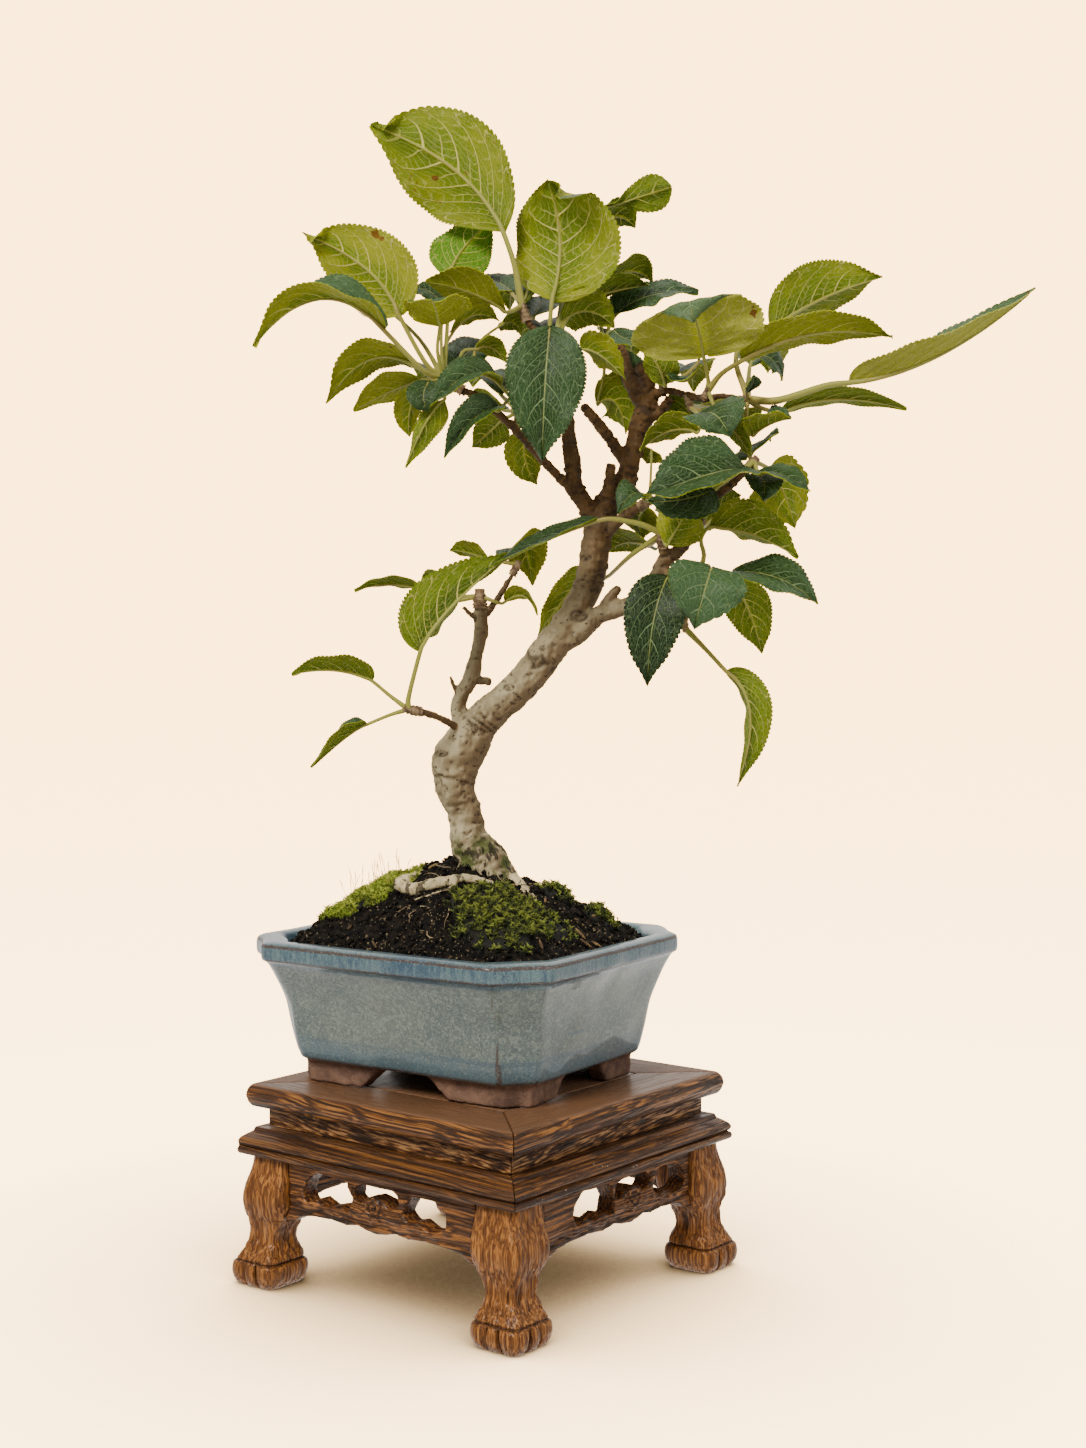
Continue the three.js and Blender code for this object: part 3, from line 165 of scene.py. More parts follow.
LIMBS = {
    "trunk": [(0.9, 5, 151, 12.9), (-0.7, 5, 159.1, 12.3), (-4, 5, 168.9, 10.1), (-8, 5, 177.1, 7.5),
        (-9.6, 5, 188, 7.1), (-12.8, 4, 196.6, 8.3), (-13.2, 4, 203.9, 9.5), (-10.7, 3, 211.7, 10.1),
        (-7.1, 2, 217.8, 9.3), (-3, 1, 224.3, 7.8), (3.4, 0, 230, 6.8), (12.7, -2, 238.1, 6.6),
        (21.5, -4, 249.4, 6.8), (30.3, -5, 261.3, 6.2), (37.9, -5, 273.7, 5.8), (41.5, -5, 282.8, 6.2),
        (43.5, -5, 297.1, 5.8), (46.7, -5, 309, 5.6), (50.3, -4, 315, 5.2), (54.7, -3, 319.4, 4.6),
        (57.2, -2, 328.6, 4), (60, -1, 339.4, 4), (62.8, -1, 347.4, 4.8), (65.2, -1, 354.1, 3.8)],
    "knuckle": [(-15, 1, 203.5, 7.4), (-15.4, 1, 210, 7.3), (-13, 2, 215.5, 5.4)],
    "small_trunk": [(-7.9, 3, 216.1, 4.8), (-11.6, 4, 227, 3.4), (-10.8, 4, 234.3, 3),
        (-6.7, 3, 242.4, 3.4), (-3.9, 2, 253.3, 2.6), (-2.6, 1, 260.9, 3), (-3, 0, 270.9, 2.6)],
    "small_trunk_stub": [(-6.3, 3, 241.2, 1.8), (1.4, 0, 240.5, 1.8)],
    "small_trunk_sliver": [(-11.6, 4, 232.3, 1.2), (-15.2, 3, 243.2, 0.8)],
    "inner_twig": [(-1.8, 1, 266.1, 1.6), (4.3, -1, 274.1, 1.4), (10.3, -3, 283.7, 1)],
    "inner_sliver": [(-3.4, 0, 264.5, 1.2), (-9.7, -4, 270.5, 1)],
    "low_left_twig": [(-7.9, 2, 219.4, 1.8), (-18.5, -12, 226.5, 1.4), (-26.7, -20, 229.6, 1.6)],
    "front_limb": [(42.6, -6, 303.4, 3.6), (38.6, -7, 311.7, 3.4), (35, -8, 319.1, 3.2),
        (33.8, -9, 328.1, 3.4), (32.6, -10, 336.7, 3), (31.8, -10, 346.1, 2.4), (29.8, -11, 359.7, 2),
        (27.8, -12, 368.2, 1.6)],
    "crown_twig": [(29, -12, 363.5, 1.6), (22.3, -8, 375, 1.4), (15.9, -8, 383.6, 1.4)],
    "left_limb": [(37, -8, 312, 2.4), (31.4, -11, 318.9, 2), (25.1, -16, 324.9, 1.8),
        (18.4, -21, 331.9, 1.8), (11.8, -25, 338.9, 1.8), (4.8, -28, 345.1, 1.6), (-2.1, -30, 350.7, 1.7),
        (-9, -31, 353.6, 1.5)],
    "sawn_limb": [(56.4, -1, 326.7, 2.8), (49.3, 3, 337.4, 2.4), (43.4, 9, 345.9, 2.2), (38.6, 14, 352, 2)],
    "fork_stub": [(47.8, -8, 310.4, 2.4), (48.4, -12, 319.7, 2.2), (49.2, -14, 326.6, 2)],
    "upper_limb": [(64.5, 0, 350.2, 3.6), (60.1, 2, 355.6, 3.6), (56.2, 5, 364.7, 3), (53.5, 8, 373, 2.6),
        (52.3, 9, 378.8, 2.4)],
    "upper_stub": [(53.8, 6, 366.4, 1.8), (49.4, 5, 371.1, 1.6)],
    "top_stub": [(65.6, -2, 352, 2.8), (63, -6, 361.1, 2.6), (60, -9, 366.2, 2.2)],
    "right_stub": [(66.4, -2, 345.7, 2.2), (73.3, -6, 352.8, 1.8)],
    "right_twig": [(64.4, -2, 352.8, 2), (70.4, -8, 355.7, 1.6), (77.7, -18, 353.5, 1.4),
        (84.7, -25, 350.8, 1.4), (91.7, -29, 351.6, 1.2), (97.4, -31, 349.4, 1.2)],
    "ring_twig": [(47.4, -7, 300.2, 2.6), (55.2, -12, 306.7, 2.2), (60.6, -15, 310.1, 1.8)],
    "right_limb": [(28.5, -5, 254.6, 3.6), (37, -8, 260.6, 4.3), (43.7, -11, 266.9, 3.8),
        (50.3, -14, 269.3, 3.6), (57.3, -17, 271.6, 3.1), (64.2, -21, 278.6, 2.9), (69.1, -25, 287.8, 2.9),
        (74, -27, 291.3, 2.7), (78.6, -29, 297, 2.5), (81.9, -31, 303.1, 2.3), (86.4, -33, 310.6, 1.9),
        (94.3, -35, 317, 1.7), (99.9, -37, 322.6, 1.5)],
    "right_limb_stub": [(45.7, -12, 270.1, 2.2), (52.2, -16, 278.3, 1.8)],
    "bud_knob": [(69.8, -26, 288.6, 2.5), (68.5, -29, 294.3, 1.7)],
    "hanging_twig": [(69.4, -26, 286.3, 1.6), (73.2, -28, 276.9, 1.2), (76.9, -31, 266.1, 1)],
}

TRUNK_NODES = [2, 9, 12, 15, 17, 22]  # rows of the trunk with wrinkled ring scars
FLARE_TOP = 174  # the root flare ends here and is full 16 mm lower
ROOT_TOP = 176
OLD_WOOD = 240  # the bark is old up to here and young from the next height on
YOUNG_WOOD = 300
LIMB_STEPS = 6  # between two rows
LIMB_SIDES = 20
LIMB_GAP = 300  # between the distances along one limb and the next
RING_GAP = 8.3  # between two ring scars of the young wood

# old scars in the bark: place in the tree's frame, half width, half height
SCARS = [
    ((-18.8, -5.5, 212), 2.6, 1.1), ((8.5, -8.5, 238.6), 2, 1.1), ((39, -10.5, 290), 2.1, 1),
    ((36, -13, 267), 3.2, 2), ((22, -10.5, 254), 1, 1), ((-9, -7, 200), 1.4, 0.8),
    ((-5, -8, 222), 1.2, 1.8), ((43, -11, 277), 1.6, 0.8), ((51, -8.5, 312), 1.4, 0.8),
]

# surface roots: rows of across, back, radius, height over the soil
ROOTS = [
    [(-8, 6, 3, -3), (-18, 5, 2.6, -3.4), (-27, 2, 2.6, -2), (-33, -2, 2.9, 0.8), (-35, -6, 2.8, 1.6),
     (-29, -10, 2.6, 1.8), (-19, -12.5, 2.3, 1.6), (-9, -13.5, 1.9, 1.4), (0, -13, 1.4, 1),
     (7, -12, 0.8, 0.4)],
    [(9, 2, 3.2, 0), (15, -3, 2, -1), (20, -10, 1.2, -1.5)],
    [(-12, -15, 0.5, 0.5), (-18, -17, 0.6, 0.8), (-24, -17, 0.6, 0.8), (-29, -14, 0.6, 0.4)],
    [(-27, -20, 0.5, 0.3), (-23, -25, 0.5, 0.6), (-21, -31, 0.45, 0.6), (-21, -38, 0.35, 0.3)],
]

# ---- the leafy shoots --------------------------------------------------------------------------------

VEIN_LEAN = 2.1  # how far the side veins run forward
HALF_THICK = 0.2  # of a blade
RIB_DIP = 0.35  # of the upper side over the midrib
TOOTH_STEPS = [0, 0.4, 0.86]  # notch, shoulder and point of a tooth
TOOTH_OUT = [-0.6, 0.15, 0.25]
BLADES = [  # teeth, columns, side veins; the last length that it serves
    (12, 4, 4.5, 28), (24, 4, 5.5, 46), (34, 6, 6.5, 1e9),
]


def leaf(base, mid, tip, width, fold, face, via=(), end_face=None, belly=0.42, tone=None, curls=(),
         point=0.4, droop=None):
    """A leaf's base, middle and tip, its width, the fold of its halves and the way its upper side faces.

    The stalk goes by via; end_face is the facing at the tip; belly is where the blade is widest, as a share
    of its length; a high point narrows the tip. A curl is a side, a share of the length, its reach, the
    share of the width where it starts, and an angle. A droop is a share of the length, the angle that the
    tip bends down by, and the bend's radius.
    """
    drawn = random.uniform(0.3, 0.75)
    return {"base": np.array(base, float), "mid": np.array(mid, float), "tip": np.array(tip, float),
            "width": width, "fold": fold, "face": face, "via": via, "end_face": end_face or face,
            "belly": belly, "tone": drawn if tone is None else tone, "curls": curls, "point": point,
            "droop": droop}


def back_leaf(base, mid, tip, width):
    """One of the leaves behind the crown, which all face up."""
    return leaf(base, mid, tip, width, 14, (0, 0, 1))


SHOOTS = {  # seat on the wood, hub, the spur's radius and the leaves
    "crown_top": ((15.9, -8, 383), (14, -8, 389), 2.2, [
        leaf((7, -8, 418), (-13, 0, 444), (-47, 6, 463), 46, 8, (0.1, 0.95, 0.3), via=[(11, -9, 405)],
             belly=0.54, tone=0.55, curls=[(-1, 0.93, 0.03, 0.4, -150)]),
        leaf((8, -16, 386), (-6, -26, 392), (-23, -30, 395), 24, 10, (0, 0.5, 0.86), belly=0.62, tone=1.1),
        leaf((10, 2, 396), (4, 14, 402), (-4, 20, 405), 16, 8, (0, -0.6, 0.8)),
        leaf((15, 0, 391), (17, 8, 399), (18, 12, 406), 12, 10, (0.7, 0.7, 0)),
        leaf((18, 8, 387), (21, 22, 394), (21, 34, 399), 18, 10, (0, -0.6, 0.8)),
        back_leaf((12, 10, 396), (10, 32, 404), (8, 54, 396), 24),
    ]),
    "crown_front": ((27.8, -12, 367.5), (27, -13, 372.5), 2.4, [
        leaf((26, -15, 390), (29, -6, 415), (24, -14, 437), 53, 20, (0.12, 0.97, 0.15),
             via=[(25, -15, 379)], belly=0.5, tone=0.6, point=0.1,
             curls=[(-1, 0.9, 0.06, 0.35, -120), (1, 0.55, 0.4, 0.8, 60)]),
        leaf((25, -30, 378), (23, -38, 354), (22, -36, 326), 33, 8, (0.05, -0.98, 0.15),
             via=[(26, -24, 376)]),
        leaf((36, 2, 392), (50, 12, 398), (66, 22, 402), 20, 14, (0, 0.45, 0.9), via=[(31, -6, 383)]),
        leaf((46, 18, 401), (58, 30, 409), (68, 36, 405), 20, 12, (0, 0.55, 0.83), via=[(34, 8, 392)]),
        leaf((37, 22, 431), (54, 26, 436), (75, 24, 442), 17, 10, (0, -0.35, 0.94), via=[(32, 14, 407)],
             end_face=(0.1, 0.95, 0.25), belly=0.82, tone=0.3, point=-0.1),
        leaf((43, 32, 427), (53, 40, 433), (61, 44, 429), 20, 10, (0, 0.7, 0.7), via=[(33, 14, 399)]),
        leaf((29, -6, 383), (40, -2, 388), (51, 2, 382), 22, 10, (0.1, 0.8, 0.6)),
        leaf((37, -12, 372), (45, -15, 369), (55, -16, 359), 20, 14, (0.2, 0.55, 0.8),
             via=[(31, -12, 373)]),
        back_leaf((25, 12, 380), (20, 32, 388), (16, 54, 380), 26),
        back_leaf((34, 24, 396), (44, 40, 408), (52, 58, 404), 22),
    ]),
    "left_hub": ((-8.5, -31, 353.3), (-16, -31, 358), 2.3, [
        leaf((-32, -38, 381), (-45, -36, 399), (-70, -34, 413), 35, 8, (0.15, 0.92, 0.35),
             via=[(-23, -34, 364)], tone=0.8, curls=[(-1, 0.93, 0.04, 0.1, -160)]),
        leaf((-40, -2, 390), (-55, 8, 399), (-67, 14, 399), 20, 8, (0, 0.6, 0.8), via=[(-26, -16, 375)]),
        leaf((-37, -46, 375), (-61, -56, 385), (-86, -54, 367), 26, 30, (0, -0.55, 0.83),
             via=[(-23, -38, 360)], end_face=(0, 0.25, 0.97), tone=0.9),
        leaf((-27, -26, 364), (-46, -18, 367), (-63, -14, 350), 22, 8, (0, 0.5, 0.86), tone=0.9),
        leaf((-25, -22, 359), (-39, -12, 355), (-53, -6, 348), 19, 10, (0, 0.45, 0.9), tone=1.0),
        leaf((-21, -40, 356), (-23, -44, 350), (-21, -44, 344), 14, 8, (-0.1, -0.95, 0.2)),
        leaf((-26, -24, 356), (-30, -18, 347), (-30, -16, 337), 14, 14, (-0.5, 0.85, 0.1)),
        leaf((-15, -40, 349), (-22, -42, 340), (-30, -40, 323), 14, 36, (0.4, 0.9, 0.1),
             via=[(-16, -36, 353)]),
        leaf((-17, -38, 377), (-18, -46, 382), (-19, -58, 384), 28, 16, (0, 0.5, 0.86),
             via=[(-18, -36, 368)], tone=1.1),
        leaf((-15, -2, 402), (-9, 8, 415), (3, 12, 427), 26, 8, (0.3, 0.9, 0.2), via=[(-15, -20, 378)],
             tone=1.5),
        leaf((-17, -16, 389), (-23, -10, 395), (-29, -6, 396), 12, 10, (0, -0.7, 0.7),
             via=[(-17, -26, 373)]),
        leaf((-14, -12, 378), (-5, -6, 386), (5, -1, 384), 14, 10, (0, 0.55, 0.83), via=[(-16, -24, 370)]),
        leaf((6, -4, 383), (10, 0, 384), (14, 2, 380), 14, 10, (0, 0.7, 0.7),
             via=[(-7, -22, 361), (-3, -12, 374)]),
        leaf((-12, -14, 363), (-5, -2, 373), (8, 6, 372), 21, 8, (0, -0.6, 0.8)),
        leaf((-4, -20, 371), (2, -16, 372), (8, -14, 366), 12, 8, (0, 0.55, 0.8),
             via=[(-11, -28, 360), (-9, -24, 369)]),
        back_leaf((-20, -10, 362), (-22, 8, 366), (-26, 26, 360), 18),
    ]),
    "left_inner": ((11.8, -25, 338.9), (13, -16, 347), 1.7, [
        leaf((6, -34, 356), (-6, -44, 358), (-20, -50, 345), 18, 24, (0, -0.65, 0.75),
             via=[(10, -26, 351)]),
        leaf((6, -36, 346), (-4, -48, 341), (-15, -52, 326), 16, 40, (0.1, -0.75, 0.65),
             via=[(10, -27, 351)]),
        leaf((6, -10, 344), (1, -4, 340), (-6, 0, 334), 16, 8, (0.2, 0.9, 0.4)),
        leaf((7, -4, 349), (0, 6, 353), (-9, 12, 346), 16, 10, (0, 0.65, 0.75)),
        leaf((16, -6, 341), (15, -2, 330), (20, -4, 319), 17, 8, (-0.1, 0.98, 0)),
        back_leaf((6, 8, 356), (-2, 28, 366), (-8, 50, 364), 20),
    ]),
    "upper_mid": ((49.8, 5, 370.7), (46.5, 4, 374), 2.3, [
        leaf((51, 16, 389), (67, 22, 398), (86, 22, 399), 26, 10, (0, -0.5, 0.86), via=[(48, 10, 381)]),
        leaf((50, -6, 380), (58, -12, 375), (67, -14, 377), 15, 8, (0, -0.6, 0.8), via=[(48, 0, 379)]),
        leaf((44, 20, 354), (52, 20, 354), (56, 20, 341), 26, 20, (0.2, 0.75, 0.6), via=[(47, 14, 365)]),
        leaf((57, 26, 359), (54, 28, 360), (50, 28, 359), 8, 8, (0, 0.5, 0.85), via=[(52, 22, 366)]),
        back_leaf((52, 20, 378), (58, 42, 384), (60, 64, 376), 26),
        back_leaf((46, 24, 387), (44, 46, 396), (42, 66, 392), 24),
    ]),
    "upper_right": ((70.4, -8, 355.7), (68, -10, 361), 1.8, [
        leaf((70, -16, 357), (67, -22, 364), (61, -22, 372), 16, 20, (0.35, 0.85, 0.3)),
        leaf((62, 6, 357), (59, 12, 366), (56, 15, 375), 14, 10, (-0.6, -0.75, 0.2)),
        leaf((84, -8, 368), (75, -2, 375), (65, 2, 375), 20, 10, (0, -0.7, 0.7), via=[(77, -10, 361)]),
        leaf((71, -20, 361), (78, -26, 358), (83, -28, 364), 9, 10, (0, -0.4, 0.9)),
        back_leaf((74, 6, 362), (82, 30, 370), (86, 54, 362), 26),
    ]),
    "right_mid": ((84.7, -25, 350.8), (86, -27, 354), 1.7, [
        # tone 2.0: this blade is painted bright, a painted backlight.
        leaf((84, -33, 366), (80, -44, 379), (74, -56, 393), 54, -8, (0.05, 0.72, 0.69),
             via=[(86, -28, 358)], belly=0.42, tone=2.0, droop=(0.7, 2.5, 1.6), point=0.7),
        leaf((98, -35, 365), (126, -44, 374), (155, -42, 372), 25, 10, (0, 0.42, 0.9), via=[(91, -30, 360)],
             tone=1.1),
        leaf((94, -32, 340), (98, -34, 335), (102, -34, 328), 10, 10, (0.3, 0.6, 0.7),
             via=[(89, -30, 346)]),
    ]),
    "right_tip": ((96.8, -31, 349.6), (101, -32, 350), 1.9, [
        leaf((111, -20, 379), (133, -12, 392), (156, -10, 400), 32, 28, (-0.42, 0.75, 0.5),
             via=[(97, -26, 368)]),
        # tone 2.0: this blade is painted bright, a painted backlight.
        leaf((138, -44, 356), (171, -50, 365), (209, -42, 391), 26, 34, (0, 0.12, 0.99),
             via=[(112, -38, 349), (129, -42, 354)], end_face=(0, -0.2, 0.98), tone=2.0),
        leaf((114, -28, 346), (137, -26, 351), (164, -22, 347), 17, 10, (0, 0.4, 0.9),
             via=[(106, -30, 347)]),
        leaf((105, -12, 369), (113, -8, 368), (117, -4, 360), 19, 10, (0.1, -0.75, 0.65),
             via=[(102, -20, 359)]),
        leaf((100, -40, 352), (102, -44, 355), (102, -44, 358), 8, 10, (0.6, -0.7, 0)),
        leaf((102, -38, 336), (109, -44, 340), (116, -48, 341), 24, 28, (0, -0.25, 0.97),
             via=[(100, -36, 339)]),
        leaf((98, -24, 346), (102, -16, 344), (101, -10, 339), 14, 10, (0, 0.8, 0.5)),
        back_leaf((104, -6, 366), (112, 14, 372), (116, 34, 368), 22),
    ]),
    "under_twig": ((78.6, -19, 353.3), (80, -19, 348), 1.7, [
        leaf((83, -32, 344), (88, -42, 343), (93, -46, 334), 28, 10, (0.1, -0.85, 0.5)),
        leaf((86, -4, 343), (78, 2, 348), (69, 6, 343), 24, 10, (0, 0.6, 0.8), via=[(83, -10, 348)]),
        leaf((83, -20, 339), (71, -20, 339), (60, -20, 331), 18, 14, (0, 0.5, 0.86), via=[(84, -20, 346)]),
        back_leaf((86, 6, 352), (94, 28, 352), (100, 50, 344), 24),
    ]),
    "branch_end": ((99.5, -37, 322.1), (103, -37, 326), 2.2, [
        leaf((99, -44, 323), (82, -56, 319), (60, -56, 311), 37, 24, (-0.05, -0.62, 0.78)),
        leaf((87, -42, 315), (76, -47, 311), (62, -47, 310), 24, 8, (0, -0.85, 0.5), via=[(96, -40, 321)]),
        leaf((104, -44, 321), (112, -52, 320), (122, -58, 313), 15, 12, (0.1, -0.5, 0.86)),
        leaf((110, -26, 324), (116, -20, 315), (121, -20, 301), 30, 12, (-0.25, 0.9, -0.2)),
        leaf((104, -38, 321), (106, -46, 317), (105, -50, 310), 16, 10, (0.1, -0.9, 0.3)),
        leaf((102, -26, 328), (106, -14, 333), (112, -2, 337), 26, 10, (0, 0.65, 0.75)),
        back_leaf((100, -12, 322), (92, 12, 322), (86, 34, 312), 24),
    ]),
    "ring_stub": ((60.2, -15, 309.8), (64, -17, 312), 2.3, [
        leaf((62, -26, 312), (57, -32, 314), (51, -34, 306), 16, 12, (0, -0.6, 0.8)),
        leaf((66, 0, 333), (65, 4, 331), (64, 6, 328), 12, 8, (0.3, 0.9, 0.2), via=[(65, -6, 321)]),
        leaf((63, -4, 310), (61, 6, 305), (63, 12, 298), 20, 10, (0.3, 0.9, 0.1)),
    ]),
    "bud_hub": ((68.6, -28.6, 293.6), (68, -31, 298.5), 2.3, [
        leaf((70, -34, 294), (75, -40, 303), (79, -40, 310), 22, 20, (0.35, 0.85, 0.4)),
        leaf((74, -22, 303), (79, -12, 310), (84, -4, 314), 16, 10, (-0.2, -0.8, 0.55)),
        leaf((64, -10, 295), (56, 7, 297), (49, 16, 293), 22, 10, (0, 0.75, 0.65), via=[(65, -22, 295)]),
        leaf((41, 18, 285), (32, 24, 275), (20, 22, 259), 18, 20, (0.6, 0.6, 0.5),
             via=[(56, -22, 290), (47, 12, 282)]),
        leaf((43, -36, 304), (23, -34, 296), (1, -28, 285), 14, 18, (0, -0.4, 0.92),
             via=[(60, -34, 302), (49, -36, 304)]),
        back_leaf((76, -8, 302), (78, 12, 308), (76, 34, 302), 22),
    ]),
    "branch_side": ((81.9, -31, 303.1), (84, -27, 303), 1.6, [
        leaf((85, -20, 302), (93, -10, 310), (101, -6, 315), 20, 12, (0, 0.75, 0.65)),
    ]),
    "hanging_end": ((76.7, -30.8, 266.8), (77.2, -32, 262), 1.6, [
        leaf((93, -36, 246), (102, -40, 229), (97, -36, 201), 18, 40, (0.6, 0.75, 0.1),
             via=[(85, -34, 254)]),
    ]),
    "hanging_mid": ((73.2, -28, 276.9), (75.5, -30, 275), 1.8, [
        leaf((86, -48, 285), (83, -56, 277), (79, -54, 262), 32, 8, (0.05, -0.95, 0.3),
             via=[(82, -40, 282)], tone=1.15),
        leaf((70, -42, 282), (64, -50, 265), (62, -46, 240), 25, 10, (-0.1, -0.97, 0.15),
             via=[(70, -38, 279)], tone=-0.2),
        leaf((95, -36, 284), (112, -46, 281), (126, -50, 271), 24, 12, (0.1, -0.6, 0.79),
             via=[(87, -34, 280)], tone=0.6),
        leaf((97, -22, 280), (104, -14, 268), (109, -12, 252), 20, 12, (0.2, 0.95, 0.1),
             via=[(88, -26, 278)]),
        leaf((86, -36, 301), (102, -40, 298), (120, -40, 289), 27, 46, (0.1, 0.78, 0.63),
             via=[(84, -32, 288), (83, -34, 296)]),
        back_leaf((74, -8, 276), (72, 14, 272), (70, 36, 260), 24),
    ]),
    "low_left": ((-26, -19.6, 229.4), (-30.5, -22.5, 230.4), 2.1, [
        leaf((-26, -27, 253), (-14, -26, 270), (10, -16, 292), 34, 40, (-0.45, 0.7, 0.53),
             via=[(-30, -24, 236)]),
        leaf((-44, -23, 242), (-59, -26, 246), (-76, -24, 244), 20, 28, (0, 0.25, 0.97),
             via=[(-38, -22, 236)]),
        leaf((-47, -20, 225), (-56, -20, 219), (-69, -18, 207), 17, 30, (0.1, -0.1, 0.99),
             via=[(-38, -20, 228)]),
    ]),
    "inner_top": ((10, -3, 283), (12, -3, 287.5), 1.7, [
        leaf((6, -4, 289), (14, 4, 294), (18, 8, 279), 24, 12, (0.2, 0.85, 0.5), via=[(8, -4, 288)]),
        leaf((0, 10, 290), (-8, 16, 293), (-16, 20, 294), 14, 10, (0, 0.65, 0.75), via=[(5, 4, 289)]),
    ]),
    "inner_low": ((-3, 0, 270), (-3, 0, 275), 3.2, [
        leaf((7, -6, 273), (15, -10, 275), (20, -12, 267), 11, 10, (0, 0.5, 0.85), via=[(5, -4, 272)]),
        leaf((-25, 0, 277), (-39, 4, 280), (-54, 6, 277), 13, 10, (0, 0.35, 0.94), via=[(-14, -2, 273)]),
        leaf((-15, 14, 276), (-21, 22, 281), (-29, 26, 280), 16, 10, (0, 0.6, 0.8), via=[(-10, 8, 275)]),
    ]),
}

# ---- placing ---------------------------------------------------------------------------------------


def world(points):
    """Points in the stand's frame, in millimetres, as metres in the model's frame."""
    return np.asarray(points, float) * MM + MIDDLE


def boxed(points):
    """Points held just inside the part's own box."""
    inset = 0.1 * MM
    return np.clip(points, np.array(cad_box[0]) + inset, np.array(cad_box[1]) - inset)


def turned(points, angle):
    """Points or their plans turned about the upright axis."""
    points = np.asarray(points, float)
    out = points.copy()
    out[..., 0] = points[..., 0] * math.cos(angle) - points[..., 1] * math.sin(angle)
    out[..., 1] = points[..., 0] * math.sin(angle) + points[..., 1] * math.cos(angle)
    return out


def from_tree(points):
    """Points of across, back and up in the stand's frame."""
    return turned(points, TREE_TURN)


def from_pot(plan):
    """A plan in the pot's own frame in the stand's frame."""
    return turned(plan, POT_TURN) + POT_PLACE


def to_pot(points):
    """The other way round, for points or plans."""
    return turned(points[..., :2] - np.array(POT_PLACE), -POT_TURN)


def level_places(across, back):
    """Places in the tree's frame at height 0, from numbers or arrays."""
    return from_tree(np.stack([across, back, np.zeros_like(back)], axis=-1))


def unit(vectors):
    length = np.linalg.norm(vectors, axis=-1, keepdims=True)
    return vectors / np.maximum(length, 1e-9)


def smoothstep(value, low, high):
    share = np.clip((value - low) / (high - low), 0, 1)
    return share * share * (3 - 2 * share)


def ripple(points, size, seed):
    """Smooth noise about zero at points: a few sine waves in turned directions."""
    draw = np.random.default_rng(seed)
    sum_of_waves = np.zeros(points.shape[:-1])
    for _ in range(10):
        direction = unit(draw.normal(size=3))
        wave = 2 * math.pi / (size * draw.uniform(0.6, 1.7))
        turn = draw.uniform(0, 2 * math.pi)
        bent = draw.normal(size=3)
        shift = 1.7 * np.sin(points @ unit(bent) * wave * 0.6 + turn * 2)
        sum_of_waves += np.sin(points @ direction * wave + turn + shift)
    return sum_of_waves / 3.2


def arc(t, start, control, end):
    return (1 - t) ** 2 * start + 2 * t * (1 - t) * control + t ** 2 * end


def smooth_rows(rows, steps):
    """A Catmull-Rom curve through rows of numbers, with that many steps between two rows."""
    rows = np.asarray(rows, float)
    ends = np.vstack([2 * rows[0] - rows[1], rows, 2 * rows[-1] - rows[-2]])
    out = []
    for a, b, c, d in zip(ends, ends[1:], ends[2:], ends[3:]):
        for step in range(steps):
            t = step / steps
            out.append(0.5 * (2 * b + (c - a) * t + (2 * a - 5 * b + 4 * c - d) * t ** 2
                              + (3 * b - a - 3 * c + d) * t ** 3))
    return np.array(out + [rows[-1]])


ACROSS = from_tree([1, 0, 0])
BACK = from_tree([0, 1, 0])

# ---- modelling helpers -----------------------------------------------------------------------------


def only(piece):
    """Selects that piece alone and makes it the active one."""
    bpy.ops.object.select_all(action="DESELECT")
    piece.select_set(True)
    bpy.context.view_layer.objects.active = piece


def added(operator, **settings):
    """A new primitive, with everything deselected first."""
    bpy.ops.object.select_all(action="DESELECT")
    operator(**settings)
    return bpy.context.object


def added_grid(columns, rows, size):
    return added(bpy.ops.mesh.primitive_grid_add, x_subdivisions=columns, y_subdivisions=rows, size=size)


def in_edit_mode(piece, *steps):
    """Runs mesh operators on the whole of a piece."""
    only(piece)
    bpy.ops.object.mode_set(mode="EDIT")
    bpy.ops.mesh.select_all(action="SELECT")
    for step in steps:
        step()
    bpy.ops.object.mode_set(mode="OBJECT")


def merge_close(distance=1e-6):
    return lambda: bpy.ops.mesh.remove_doubles(threshold=distance)


def extruded(height):
    """A second layer at a height over the first, with walls between them."""
    return lambda: bpy.ops.mesh.extrude_region_move(TRANSFORM_OT_translate={"value": (0, 0, height)})


def face_outwards():
    bpy.ops.mesh.normals_make_consistent(inside=False)


def modified(piece, kind, **settings):
    """Adds a modifier and applies it."""
    only(piece)
    modifier = piece.modifiers.new(kind.lower(), kind)
    for key, value in settings.items():
        setattr(modifier, key, value)
    bpy.ops.object.modifier_apply(modifier=modifier.name)


def fused(piece, voxel, factor, iterations):
    """One voxel skin over a piece, smoothed."""
    modified(piece, "REMESH", mode="VOXEL", voxel_size=voxel * MM)
    modified(piece, "SMOOTH", factor=factor, iterations=iterations)


def vectors(collection, label):
    flat = np.empty(len(collection) * 3, np.float32)
    collection.foreach_get(label, flat)
    return flat.reshape(-1, 3).astype(float)


def coordinates(piece):
    return vectors(piece.data.vertices, "co")


def normals(piece):
    return vectors(piece.data.vertex_normals, "vector")


def place_vertices(piece, points):
    piece.data.vertices.foreach_set("co", np.asarray(points, np.float32).ravel())
    piece.data.update()


def surface(name, points, material, **attributes):
    """A grid primitive whose rows and columns are set on points, rows x columns x 3 in metres.

    Columns that meet are merged, and so is a row that is one point. Attributes are rows x columns.
    """
    rows, columns = points.shape[:2]
    piece = added_grid(columns - 1, rows - 1, 1)
    piece.name = name
    place_vertices(piece, points.reshape(-1, 3))
    for label, values in attributes.items():
        give(piece, label, values)
    in_edit_mode(piece, merge_close(), face_outwards)
    piece.data.materials.append(material)
    return piece


